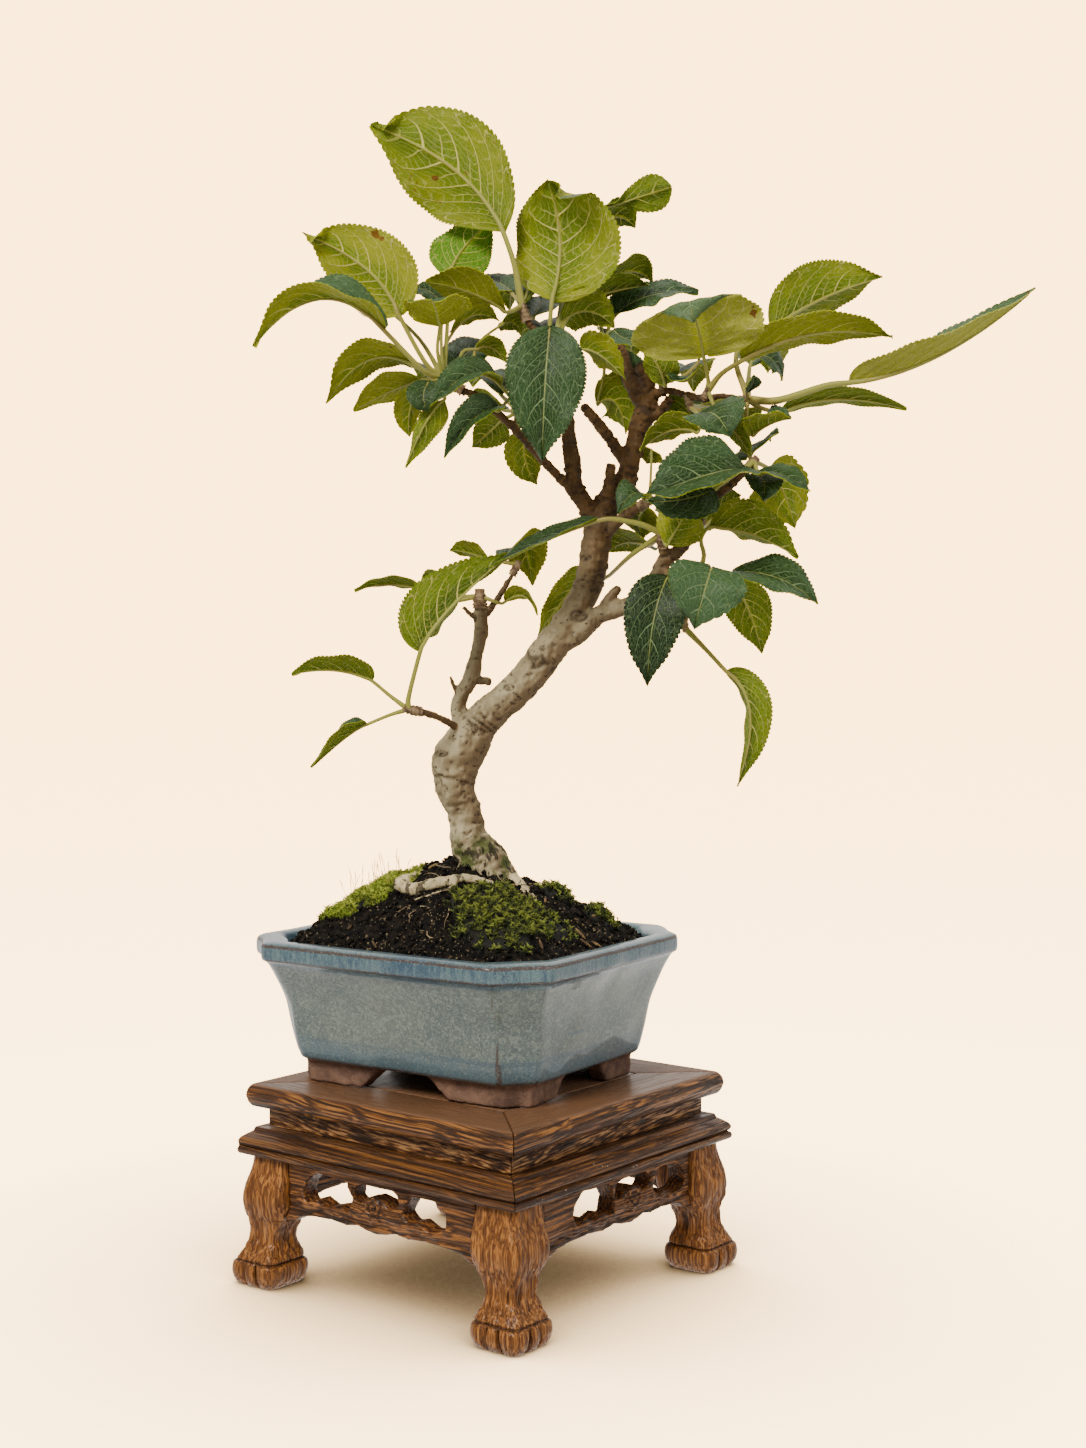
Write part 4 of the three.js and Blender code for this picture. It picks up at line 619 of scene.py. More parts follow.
def give(piece, label, values):
    """Gives each vertex its own number under a label."""
    numbers = np.asarray(values, np.float32).ravel()
    piece.data.attributes.new(label, "FLOAT", "POINT").data.foreach_set("value", numbers)


def ringed(rings):
    """Rings with their first point repeated, and their ends closed by a middle point."""
    rings = np.asarray(rings, float)
    wrapped = np.concatenate([rings, rings[:, :1]], axis=1)
    first = np.repeat(wrapped[:1, :-1].mean(axis=1, keepdims=True), wrapped.shape[1], axis=1)
    last = np.repeat(wrapped[-1:, :-1].mean(axis=1, keepdims=True), wrapped.shape[1], axis=1)
    return np.concatenate([first, wrapped, last])


def tube_rings(points, radii, sides):
    """Rings round a path; their frame turns no more than the path does."""
    points = np.asarray(points, float)
    along = unit(np.gradient(points, axis=0))
    side = np.array([0.3, 1, 0.2])
    angles = 2 * math.pi * np.arange(sides) / sides
    rings = []
    for point, direction, radius in zip(points, along, radii):
        side = unit(side - direction * (side @ direction))
        up = np.cross(direction, side)
        rings.append(point + radius * (np.cos(angles)[:, None] * side + np.sin(angles)[:, None] * up))
    return np.array(rings)


def tube(name, points, radii, sides, material):
    """A round bar along points in the stand's frame."""
    return surface(name, boxed(world(ringed(tube_rings(points, radii, sides)))), material)


def joined(name, parts):
    """Joins parts into the first of them."""
    bpy.ops.object.select_all(action="DESELECT")
    for part in parts:
        part.select_set(True)
    bpy.context.view_layer.objects.active = parts[0]
    bpy.ops.object.join()
    parts[0].name = name
    parts[0].data.name = name
    return parts[0]


def smooth(piece, angle=None):
    """Smooth shading, over edges up to that angle or all of them."""
    only(piece)
    if angle is None:
        bpy.ops.object.shade_smooth()
    else:
        bpy.ops.object.shade_smooth_by_angle(angle=math.radians(angle))


def finished(piece, node):
    """The piece rides on the body and stands for the CAD node that it replaces."""
    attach(piece, "root")
    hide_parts(node)


def copied(node, name, material):
    """A merged copy of a CAD node's mesh as a new piece."""
    piece = bpy.data.objects.new(name, frame["nodes"][node].data.copy())
    bpy.context.scene.collection.objects.link(piece)
    piece.data.materials.clear()
    piece.data.materials.append(material)
    in_edit_mode(piece, merge_close(1e-5))
    return piece


# ---- materials -------------------------------------------------------------------------------------


def operator(operation, backwards=False):
    """A method that turns arithmetic on a value into a Math node."""
    def run(self, other):
        pair = (other, self) if backwards else (self, other)
        return self.owner.math(operation, *pair)

    return run


class Value:
    """One output of a node."""

    def __init__(self, owner, socket):
        self.owner = owner
        self.socket = socket

    __add__ = __radd__ = operator("ADD")
    __sub__ = operator("SUBTRACT")
    __rsub__ = operator("SUBTRACT", True)
    __mul__ = __rmul__ = operator("MULTIPLY")
    __rtruediv__ = operator("DIVIDE", True)
    __pow__ = operator("POWER")


class Nodes:
    """A node tree and one short way to add any node to it."""

    def __init__(self, owner):
        owner.use_nodes = True
        self.nodes = owner.node_tree.nodes
        self.links = owner.node_tree.links

    def feed(self, socket, value):
        """Feeds a socket with a value of the tree, a number, a vector, or a colour as six hex digits."""
        if isinstance(value, Value):
            self.links.new(value.socket, socket)
        else:
            socket.default_value = linear(value) if isinstance(value, str) else value

    def node(self, kind, settings=None, inputs=None, output=0):
        node = self.nodes.new(kind)
        for name, value in (settings or {}).items():
            setattr(node, name, value)
        for name, value in (inputs or {}).items():
            self.feed(node.inputs[name], value)
        return Value(self, node.outputs[output])

    def math(self, operation, *values):
        return self.node("ShaderNodeMath", {"operation": operation}, dict(enumerate(values)))

    def coordinate(self, kind):
        return self.node("ShaderNodeTexCoord", output=kind)

    def uv(self, name):
        return self.node("ShaderNodeUVMap", {"uv_map": name})

    def attribute(self, name):
        return self.node("ShaderNodeAttribute", {"attribute_name": name}, output="Fac")

    def parts(self, vector):
        split = self.node("ShaderNodeSeparateXYZ", inputs={0: vector}).socket.node
        return [Value(self, output) for output in split.outputs]

    def vector(self, x, y, z):
        return self.node("ShaderNodeCombineXYZ", inputs={0: x, 1: y, 2: z})

    def cells(self, vector, scale, feature="F1"):
        return self.node("ShaderNodeTexVoronoi", {"feature": feature},
                         {"Vector": vector, "Scale": scale}, output="Distance")

    def step(self, value, low, high, start=0, end=1, kind="SMOOTHSTEP"):
        """Where the value lies from low to high, as start to end."""
        return self.node("ShaderNodeMapRange", {"interpolation_type": kind}, {
            "Value": value, "From Min": low, "From Max": high, "To Min": start, "To Max": end})

    def mix(self, factor, first, second):
        return self.node("ShaderNodeMix", {"data_type": "RGBA"}, {0: factor, 6: first, 7: second}, output=2)


class Paint(Nodes):
    """One material, whose colour is built up in covers; its patterns lie on the piece's own place."""

    def __init__(self, name, **constants):
        self.material = bpy.data.materials.new(name)
        super().__init__(self.material)
        self.shader = self.nodes["Principled BSDF"]
        self.place = self.coordinate("Object")
        self.color = None
        for socket, value in constants.items():
            self.shader.inputs[socket.replace("_", " ")].default_value = value

    def mapped(self, scale, shift=(0, 0, 0)):
        return self.node("ShaderNodeMapping",
                         inputs={"Vector": self.place, "Scale": scale, "Location": shift})

    def noise(self, scale, detail, roughness=0.55, distortion=0, at=None):
        return self.node("ShaderNodeTexNoise", inputs={
            "Vector": at or self.place, "Scale": scale, "Detail": detail, "Roughness": roughness,
            "Distortion": distortion})

    def cover(self, share, color):
        """Lays a share of another colour over the colour so far."""
        self.color = self.mix(share, self.color, color)

    def finish(self, roughness, height, depth, coat=0):
        """Feeds the shader; height is the relief as a share of depth metres."""
        bump = self.node("ShaderNodeBump", inputs={"Distance": depth, "Height": height})
        for socket, value in (("Base Color", self.color), ("Roughness", roughness), ("Coat Weight", coat),
                              ("Normal", bump)):
            self.feed(self.shader.inputs[socket], value)
        return self.material


def linear(code):
    """A colour as on a screen, six hex digits, in the shader's linear numbers."""
    screen = [int(code[i:i + 2], 16) / 255 for i in (0, 2, 4)]
    return [c / 12.92 if c <= 0.04045 else ((c + 0.055) / 1.055) ** 2.4 for c in screen] + [1]


def vein_mask(paint, along, out):
    """The rib, side veins with the loops that join them near the margin, and the finer net between them."""
    fade = 1 - 0.75 * paint.step(paint.attribute("share"), 0.7, 0.92)
    rib = 1 - paint.step(out, 0.015, 0.04)
    drift = paint.vector(along * 1.7, out * 3, paint.attribute("tone") * 9)
    wobble = paint.noise(1, 2, at=drift) - 0.5
    near = paint.math("ABSOLUTE", paint.math("FRACT", along + 0.5) - 0.5)
    width = 0.048 - 0.022 * out
    side = (1 - paint.step(near, width * 0.4, width)) * (1 - 0.7 * paint.step(out, 0.82, 0.97))
    part = paint.math("FRACT", along)
    swell = paint.math("SINE", math.pi * part)
    loop_at = 0.74 + 0.16 * swell + 0.1 * wobble
    loop = 1 - paint.step(paint.math("ABSOLUTE", out - loop_at), 0.004, 0.02)
    between = 1 - paint.step(paint.math("ABSOLUTE", part - 0.5 + 0.25 * wobble), 0.012, 0.04)
    between = between * (1 - paint.step(out, 0.3, 0.55))
    rung = paint.math("FRACT", out * 8.5 + 2.2 * wobble + 0.9 * swell)
    rungs = 1 - paint.step(paint.math("ABSOLUTE", rung - 0.5), 0.03, 0.14)
    fine = 1 - paint.step(paint.cells(paint.place, 700, "DISTANCE_TO_EDGE"), 0, 0.16)
    strong = paint.math("MAXIMUM", side, paint.math("MAXIMUM", loop * 0.6, between * 0.55)) * fade
    strong = paint.math("MAXIMUM", strong, rib * 0.9)
    return strong, paint.math("MAXIMUM", rungs * 0.32, fine * 0.12)


def leaf_material(name, colors, clear, depth, gloss, roughness, sink):
    """One side of the leaves; tone goes from dark to light, past 1.2 to vivid and past 1.7 to bright, which
    is a painted backlight.
    """
    dark, mid, light, vivid, vein = colors
    paint = Paint(name, Subsurface_Weight=depth, Subsurface_Radius=(1, 1, 0.15), Subsurface_Scale=0.001,
                  Specular_IOR_Level=gloss)
    along, out, _ = paint.parts(paint.uv("veins"))
    tone = paint.attribute("tone")
    patches = paint.noise(55, 4)
    # The ground darkens towards the midrib: painted shade in the fold of the blade.
    shaded = tone + 0.8 * (patches - 0.5) - 0.45 * (1 - paint.step(out, 0, 0.6)) + 0.17
    ground = paint.mix(paint.step(shaded, 0, 0.5), dark, mid)
    ground = paint.mix(paint.step(shaded, 0.5, 1), ground, light)
    # Past tone 1.7 the blade is painted bright, towards the vein colour: a painted backlight.
    painted_backlight = paint.step(tone, 1.7, 1.9)
    ground = paint.mix(paint.step(tone, 1.2, 1.4) * (1 - painted_backlight), ground, vivid)
    ground = paint.mix(painted_backlight * 0.25, ground, vein)
    grain = paint.noise(1100, 2)
    ground = paint.mix(0.4 * grain, ground, dark)
    strong, weak = vein_mask(paint, along, out)
    paint.color = paint.mix(weak, ground, vein)
    paint.cover(strong * clear, vein)
    rust = paint.step(paint.noise(130, 2, at=paint.mapped((1, 1, 1), (3, 1, 2))), 0.72, 0.75)
    paint.cover(rust * 0.85, "7a4318")
    height = sink * (strong * 0.8 + weak * 0.4) + 0.25 * grain
    return paint.finish(roughness + 0.15 * grain, height, 0.0007)


def stalk_material():
    paint = Paint("leaf_stalk", Subsurface_Weight=0.1, Subsurface_Radius=(0.6, 1, 0.2),
                  Subsurface_Scale=0.001, Sheen_Weight=0.15)
    blush = paint.step(paint.noise(40, 3), 0.42, 0.68)
    paint.color = paint.mix(blush * 0.5, "9a9a34", "a08036")
    fur = paint.noise(1500, 2, at=paint.mapped((1, 1, 0.3)))
    paint.cover(fur * 0.12, "ccc68a")
    return paint.finish(0.55, fur, 0.0002)


def spur_material():
    """Short woody spurs with their bud scales."""
    paint = Paint("spur_bark")
    patches = paint.noise(420, 4, 0.65)
    paint.color = paint.mix(paint.step(patches, 0.35, 0.65), "5a422c", "a08560")
    paint.cover(paint.step(patches, 0.62, 0.8) * 0.6, "cdb98e")
    return paint.finish(0.75, patches, 0.0006)


def bark_material():
    """Pale at the foot, brown on the young wood, with painted shade on the sides that face down and to the
    right; heights are in metres.
    """
    paint = Paint("crabapple_bark", Specular_IOR_Level=0.3)
    girth = paint.attribute("girth")
    level = paint.parts(paint.place)[2]
    patches = paint.noise(90, 5, 0.6)
    fleck = paint.noise(420, 4, 0.7)
    height = paint.step(level + 0.05 * (patches - 0.5), 0.232, 0.32)
    thin = 1 - paint.step(girth, 1.6, 2.4)
    young = paint.math("MAXIMUM", height, thin * 0.85)
    pale = paint.mix(paint.step(patches, 0.3, 0.7), "998a68", "c7b992")
    pale = paint.mix(paint.step(fleck, 0.5, 0.7) * 0.45, pale, "d4c5a6")
    brown = paint.mix(paint.step(patches, 0.3, 0.7), "402a12", "6a4c26")
    brown = paint.mix(paint.step(fleck, 0.5, 0.75) * 0.4, brown, "86683e")
    # Painted shade: the pale bark turns brown where the surface faces down and to the right.
    pale = paint.mix(paint.attribute("shaded") * (0.5 + 0.6 * patches), pale, "6c5030")
    paint.color = paint.mix(young, pale, brown)
    root = paint.attribute("root")
    bare = paint.mix(paint.step(fleck, 0.32, 0.5), "a8905f", "e6d3a4")
    paint.cover(root, bare)
    # Painted shade in the sunk creases, wrinkles and scar holes.
    crease = paint.attribute("crease") * paint.step(fleck, 0.3, 0.5)
    paint.cover(crease * 0.85, "3f3020")
    pits = paint.cells(paint.mapped((1, 1, 1.6)), 210)
    pitted = (1 - paint.step(pits, 0.09, 0.18)) * paint.step(fleck, 0.47, 0.52)
    paint.cover(pitted * 0.8, "3a2d22")
    foot = 1 - paint.step(level + 0.03 * (patches - 0.5), 0.171, 0.186)
    green = paint.step(paint.noise(150, 4), 0.45, 0.58) * foot * (1 - 0.7 * root)
    paint.cover(green * 0.9, "4b5722")
    # Painted shade in the fine cracks of the flared foot.
    cracks = paint.step(paint.noise(330, 3, at=paint.mapped((1, 1, 0.5))), 0.53, 0.6) * foot
    paint.cover(cracks * 0.85, "2a2117")
    relief = fleck * 0.5 - 0.6 * crease - 0.8 * pitted - 0.6 * cracks
    return paint.finish(0.8 - 0.15 * young, relief, 0.0006)


def soil_material():
    paint = Paint("dark_soil", Specular_IOR_Level=0.25)
    lump = paint.noise(260, 4, 0.6)
    paint.color = paint.mix(paint.step(lump, 0.42, 0.64), "050403", "211a12")
    # Pale specks: painted highlights on the lit sides of the crumbs.
    painted_highlights = paint.step(paint.noise(700, 2), 0.62, 0.7)
    paint.cover(painted_highlights * 0.8, "8a7a5c")
    return paint.finish(0.95, paint.noise(900, 4), 0.0006)


def moss_material(name, dark, light, tip):
    paint = Paint(name, Subsurface_Weight=0.1, Subsurface_Radius=(0.4, 0.8, 0.1), Subsurface_Scale=0.001)
    patches = paint.noise(120, 3)
    paint.color = paint.mix(paint.step(patches, 0.32, 0.62), dark, light)
    rise = paint.attribute("tip")
    tuft = paint.step(paint.noise(300, 2), 0.4, 0.6)
    paint.cover(paint.step(rise, 0.5, 1) * (0.1 + 0.8 * tuft), tip)
    # Painted shade deep in the moss: each plant darkens towards its foot.
    paint.cover((1 - paint.step(rise, 0.05, 0.65)) * 0.9, "0c0d05")
    return paint.finish(0.8, paint.noise(1500, 2), 0.0003)


def root_material(name, dark, light):
    paint = Paint(name)
    patches = paint.noise(300, 4)
    paint.color = paint.mix(paint.step(patches, 0.35, 0.7), dark, light)
    return paint.finish(0.85, patches, 0.0005)


def glaze_material():
    """Grey celadon: bluer on the rim and where it pools, thin and brown on the edges; heights in metres."""
    paint = Paint("celadon_glaze", Coat_Roughness=0.07, Coat_IOR=1.5)
    level = paint.parts(paint.place)[2]
    edge = paint.attribute("edge")
    cloud = paint.noise(24, 4)
    mottle = paint.noise(460, 3, 0.6, 1.6)
    paint.color = paint.mix(paint.step(cloud, 0.35, 0.65), "536360", "6a746c")
    paint.cover(paint.step(mottle, 0.45, 0.68) * 0.6, "959f8f")
    paint.cover((1 - paint.step(mottle, 0.32, 0.48)) * 0.5, "48585a")
    runs = paint.noise(700, 4, 0.7, at=paint.mapped((1, 1, 0.2)))
    low = 1 - paint.step(level + 0.014 * (runs - 0.5), 0.0925, 0.1035)
    paint.cover(low * 0.65, "426478")
    on_rim = paint.step(level + 0.002 * (runs - 0.5), 0.1275, 0.1295)
    rim = paint.mix(paint.step(runs + 0.7 * (cloud - 0.5), 0.35, 0.65), "325268", "607b80")
    paint.cover(on_rim * 0.9, rim)
    wisp = paint.noise(1, 2, 0.5, at=paint.mapped((14, 14, 230), (1, 4, 0)))
    paint.cover(paint.step(wisp, 0.67, 0.73) * 0.55 * (1 - on_rim), "3f6377")
    to_line = paint.math("ABSOLUTE", level - 0.0985 + 0.002 * (cloud - 0.5))
    foot_line = 1 - paint.step(to_line, 0.0003, 0.0014)
    paint.cover(foot_line * paint.step(wisp, 0.42, 0.56) * 0.6, "3d5867")
    worn = paint.step(edge + 1.1 * (mottle - 0.5) + 0.8 * (cloud - 0.5), 0.5, 0.75)
    paint.cover(worn * 0.85, "4c372c")
    speck = paint.step(paint.noise(620, 2), 0.7, 0.75)
    paint.cover(speck * (0.15 + 0.6 * edge), "4f4038")
    fine = paint.noise(1500, 2)
    paint.cover(paint.step(fine, 0.5, 0.75) * 0.22, "ced8d2")
    relief = cloud * 0.4 + mottle * 0.3 + fine * 0.1 - 0.2 * worn
    return paint.finish(0.32 + 0.2 * fine, relief, 0.0005, 0.7 - 0.4 * worn)


def clay_material():
    paint = Paint("bare_clay")
    patches = paint.noise(90, 5, 0.65)
    paint.color = paint.mix(paint.step(patches, 0.3, 0.7), "5a4236", "8b6b56")
    grit = paint.noise(1100, 3)
    paint.cover(paint.step(grit, 0.6, 0.75) * 0.5, "b29a84")
    return paint.finish(0.8, patches + grit * 0.5, 0.0006)


def wood_material(name, grain_along, dark, mid, light, roughness, slant, sway, dust=0):
    """Stained open-pored hardwood: streaks run along x, y or z, lean by slant and waver by sway mm."""
    paint = Paint(name, Specular_IOR_Level=0.36)
    x, y, z = paint.parts(paint.place)
    along, first, second = {"x": (x, y, z), "y": (y, x, z), "z": (z, x, y)}[grain_along]
    bend = (paint.noise(26, 2, 0.4) - 0.5) * (sway * MM) + slant * along
    first = first + bend
    second = second + bend

    def streaks(across, length, detail):
        stretched = paint.vector(along * length, first * across, second * across)
        return paint.noise(1, detail, 0.6, at=stretched)

    # The panel's top face is painted lighter and greyer, with fainter grain and pores: a painted reflection
    # of the bright backdrop.
    top = paint.step(z, PANEL_HIGH.z - 0.0009, PANEL_HIGH.z - 0.0004)
    broad = streaks(760, 11, 2)
    fine = streaks(1300, 15, 1)
    pores = streaks(2200, 150, 1)
    paint.color = paint.mix(paint.step(broad, 0.36, 0.6), dark, mid)
    flame = paint.step(fine, 0.52, 0.62) * paint.step(broad, 0.3, 0.58) * (1 - 0.85 * top)
    paint.cover(flame * 0.8, light)
    lines = paint.math("MAXIMUM", paint.step(fine, 0.38, 0.48), top * 0.4)
    paint.cover((1 - lines) * 0.75, dark)
    paint.cover(top * 0.55, "8d684b")
    pit = paint.step(pores, 0.6, 0.68) * (1 - 0.6 * top)
    paint.cover(pit * 0.55, "140c07")
    # Painted shade in the carved grooves of the legs and aprons.
    paint.cover(paint.attribute("dent") * 0.8, "1a0f08")
    if dust:
        specks = paint.step(paint.noise(760, 2), 0.7, 0.76)
        paint.cover(specks * dust, "cfc0ac")
    return paint.finish(roughness + 0.2 * (1 - lines), lines * 0.5 - pit * 0.5, 0.0004)


def floor_material():
    """The floor glows with the background's own brightness, darkened by ambient occlusion where the stand
    closes it in: a painted contact shadow.
    """
    material = bpy.data.materials.new("pale_floor")
    paint = Nodes(material)
    x, y, _ = paint.parts(paint.coordinate("Object"))
    near = paint.step(1 / paint.math("SQRT", x * x + y * y), 0.1, 2, kind="LINEAR")
    color = paint.mix(near, BACKGROUND, NEAR_FLOOR)
    # Painted contact shadow: the glow dims where the stand hides the open room.
    seen_sky = paint.node("ShaderNodeAmbientOcclusion", {"samples": 24}, {"Distance": 0.22}, output="AO")
    strength = seen_sky ** 2.3 * BACKGROUND_STRENGTH
    glow = paint.node("ShaderNodeEmission", inputs={"Color": color, "Strength": strength})
    paint.feed(paint.nodes["Material Output"].inputs["Surface"], glow)
    return material


# ---- the studio ------------------------------------------------------------------------------------

BACKGROUND = (1.0, 0.6, 0.232, 1.0)
NEAR_FLOOR = (1.0, 0.66, 0.33, 1.0)
BACKGROUND_STRENGTH = 8.6  # what the camera sees
ROOM_COLOR = (1.0, 0.95, 0.89, 1.0)
ROOM_LIGHT = 0.32  # what lights the tree from the camera's side
BACKDROP_LIGHT = 1.3  # from the bright backdrop behind it
TABLE_LIGHT = 0.75  # and back up from the pale floor
LAMPS = {  # bearing from the camera's, positive to its right; height, distance, size, power, colour
    "key": (-32, 1.5, 1.5, 0.7, 40, (1.0, 0.95, 0.88)),
    "fill": (62, 1.0, 1.6, 1.0, 9.5, (1.0, 0.97, 0.93)),
    "top": (160, 1.9, 0.8, 0.8, 8, (1.0, 0.97, 0.93)),
}
LIT_PLACE = Vector((0, 0, 0.22))


def add_camera():
    bpy.ops.object.camera_add(location=world(CAMERA_PLACE),
                              rotation=(math.pi / 2 - CAMERA_DOWN, 0, CAMERA_YAW))
    camera = bpy.context.object
    camera.data.sensor_width = 36
    camera.data.lens = CAMERA_LENS
    bpy.context.scene.camera = camera


def add_lamps():
    """Square soft lights that look at the tree."""
    for name, (bearing, height, distance, size, power, color) in LAMPS.items():
        angle = CAMERA_YAW + math.radians(bearing)
        place = Vector((math.sin(angle) * distance, -math.cos(angle) * distance, height))
        turn = (LIT_PLACE - place).to_track_quat("-Z", "Y").to_euler()
        bpy.ops.object.light_add(type="AREA", location=place, rotation=turn)
        lamp = bpy.context.object
        lamp.name = name
        lamp.data.size = size
        lamp.data.energy = power
        lamp.data.color = color


def add_floor():
    floor = added(bpy.ops.mesh.primitive_circle_add, vertices=96, radius=30, fill_type="NGON")
    floor.name = "floor"
    floor.data.materials.append(floor_material())
    floor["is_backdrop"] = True
    floor.visible_diffuse = False
    floor.visible_glossy = False


def add_world():
    """The camera sees a plain backdrop; the tree is lit by the room, the backdrop and the pale floor."""
    sky = bpy.data.worlds.new("studio")
    bpy.context.scene.world = sky
    light = Nodes(sky)
    way = light.coordinate("Generated")
    ahead = (-math.sin(CAMERA_YAW), math.cos(CAMERA_YAW), 0)
    behind = light.node("ShaderNodeVectorMath", {"operation": "DOT_PRODUCT"}, {0: way, 1: ahead}, "Value")
    around = light.step(behind, 0.1, 0.9, ROOM_LIGHT, BACKDROP_LIGHT)
    below = light.step(light.parts(way)[2], 0, -0.6, 0, TABLE_LIGHT, "LINEAR")
    room, seen = (light.node("ShaderNodeBackground", inputs={"Color": color, "Strength": strength})
                  for color, strength in ((ROOM_COLOR, around + below), (BACKGROUND, BACKGROUND_STRENGTH)))
    by_camera = light.node("ShaderNodeLightPath", output="Is Camera Ray")
    choice = light.node("ShaderNodeMixShader", inputs={0: by_camera, 1: room, 2: seen})
    light.feed(light.nodes["World Output"].inputs["Surface"], choice)


# ---- stand -----------------------------------------------------------------------------------------


def softened(name, material, width):
    """A copy of a CAD node with its edges eased."""
    piece = copied(f"stand_{name}", name, material)
    in_edit_mode(piece, lambda: bpy.ops.mesh.dissolve_limited(angle_limit=math.radians(0.5)))
    modified(piece, "BEVEL", width=width * MM, segments=3, limit_method="ANGLE",
             angle_limit=math.radians(18))
    smooth(piece, 40)
    finished(piece, f"stand_{name}")


def rounded_outline(corners, radius):
    """A closed outline of corner points with each corner rounded by that radius; plan coordinates."""
    corners = np.asarray(corners, float)
    points = []
    for before, corner, after in zip(np.roll(corners, 1, axis=0), corners, np.roll(corners, -1, axis=0)):
        start = corner + unit(before - corner) * min(radius, np.linalg.norm(before - corner) * 0.45)
        end = corner + unit(after - corner) * min(radius, np.linalg.norm(after - corner) * 0.45)
        for step in range(BENDS + 1):
            t = step / BENDS
            points.append(arc(t, start, corner, end))
    return np.array(points)


def resampled(outline, count):
    """Points at even distances along a closed outline."""
    closed = np.vstack([outline, outline[:1]])
    lengths = np.concatenate([[0], np.cumsum(np.linalg.norm(np.diff(closed, axis=0), axis=1))])
    wanted = np.linspace(0, lengths[-1], count, endpoint=False)
    return np.column_stack([np.interp(wanted, lengths, closed[:, k]) for k in range(closed.shape[1])])


def carved_leg(material):
    """The leg at the corner between the front and the right side, with grain ridges and claw toes."""
    rings, dents = [], []
    for height, outer, width in smooth_rows(LEG_ROWS, 8):
        half = width / 2
        square = [(half, half), (-half, half), (-half, -half), (half, -half)]
        ring = resampled(rounded_outline(square, width * 0.2), 104)
        middle = outer - half
        out = unit(ring)
        points = np.column_stack([ring + (middle, -middle), np.full(len(ring), height)])
        local = np.column_stack([ring, np.full(len(ring), height * 0.16)])
        ankle = math.exp(-((height - 20) / 8) ** 2)
        hair = ripple(local, 3.0, 5)
        push = (0.16 + 0.4 * ankle) * hair + 0.1 * ripple(local, 1.2, 6)
        # dent is the share of painted shade in the sunk grooves, toe cuts and seam.
        dent = 0.8 * ankle * smoothstep(-hair, 0.3, 0.9)
        toes = 1 - smoothstep(height, TOE_HEIGHT - 1.2, TOE_HEIGHT)
        for cut in TOE_CUTS:
            for along, face in ((points[:, 0] - middle, ring[:, 1] < -half * 0.7),
                                (-points[:, 1] - middle, ring[:, 0] > half * 0.7)):
                lean = cut * (1 - 0.25 * height / TOE_HEIGHT)
                groove = np.exp(-((along - lean) / 0.7) ** 2) * face * toes
                push -= 2.0 * groove
                dent += groove
        seam = math.exp(-((height - TOE_HEIGHT - 0.3) / 0.5) ** 2)
        push += 0.5 * toes * math.sin(math.pi * min(height / TOE_HEIGHT, 1)) ** 0.6 - 0.9 * seam
        points[:, :2] += out * push[:, None]
        rings.append(points)
        dents.append(np.clip(dent + seam, 0, 1))
    leg = surface("leg_right", world(ringed(rings)), material,
                  dent=ringed(np.array(dents)[..., None])[..., 0])
    smooth(leg, 55)
    return leg


def turned_copy(piece, name, quarter):
    """A copy with its own mesh, turned about the stand's middle by quarter turns."""
    twin = piece.copy()
    twin.data = piece.data.copy()
    twin.name = name
    bpy.context.scene.collection.objects.link(twin)
    place_vertices(twin, turned(coordinates(twin) - MIDDLE, quarter * math.pi / 2) + MIDDLE)
    return twin


def on_front(points, quarter):
    """Points of a side's piece in millimetres, turned to the front, as x, y and z."""
    return turned((points - MIDDLE) / MM, -quarter * math.pi / 2).T


def off_front(x, y, z, quarter):
    """The other way round: back to metres and to the piece's own side."""
    return world(turned(np.column_stack([x, y, z]), quarter * math.pi / 2))


def carve_apron(side, quarter, material):
    """The pierced apron with rounded edges, scroll lumps, a groove along its lower edge and a rosette."""
    node = f"stand_apron_{side}"
    apron = copied(node, f"apron_{side}", material)
    x, y, z = on_front(coordinates(apron), quarter)
    for middle, height in OPENINGS:
        away_x, away_z = x - CARVING_SHIFT[side] - middle, z - height
        near = (np.abs(away_x) < OPENING_REACH[0]) & (np.abs(away_z) < OPENING_REACH[1])
        near &= (z > OPENING_HEIGHTS[0]) & (z < OPENING_HEIGHTS[1])
        x = x + away_x * OPENING_GROWTH[0] * near
        z = z + away_z * OPENING_GROWTH[1] * near
    place_vertices(apron, off_front(x, y, z, quarter))
    fused(apron, 0.68, 0.6, 3)
    points = coordinates(apron)
    x, y, z = on_front(points, quarter)
    x_carved = x - CARVING_SHIFT[side]
    front = smoothstep(-y, APRON_FACE - 3.5, APRON_FACE - 0.5)
    lift = np.zeros(len(x))
    for place, height, size, rise in SCROLL_LUMPS:
        lift += rise * np.exp(-((x_carved - place) ** 2 + (z - height) ** 2) / size ** 2)
    away = np.hypot(x_carved, z - ROSETTE_HEIGHT)
    turn = np.arctan2(z - ROSETTE_HEIGHT, x_carved)
    spiral = np.cos(away * 2.6 - turn) * (1 - smoothstep(away, 4.2, 5.4))
    lift += 0.55 * spiral
    wave = GROOVE_HEIGHT + 0.8 * np.sin(x_carved * 0.38)
    lift -= 0.6 * np.exp(-((z - wave) / 0.7) ** 2)
    grain = np.column_stack([x * 0.12, y, z])
    lift += 0.16 * ripple(grain, 2.6, 11)
    outwards = np.array([math.sin(quarter * math.pi / 2), -math.cos(quarter * math.pi / 2), 0])
    points += outwards * (lift * front)[:, None] * MM
    place_vertices(apron, points)
    # Painted shade in the rosette's spiral and the groove along the lower edge.
    dent = smoothstep(-spiral, 0.3, 0.9) + 0.8 * np.exp(-((z - wave) / 0.6) ** 2)
    give(apron, "dent", np.clip(dent, 0, 1) * front)
    smooth(apron, 60)
    finished(apron, node)


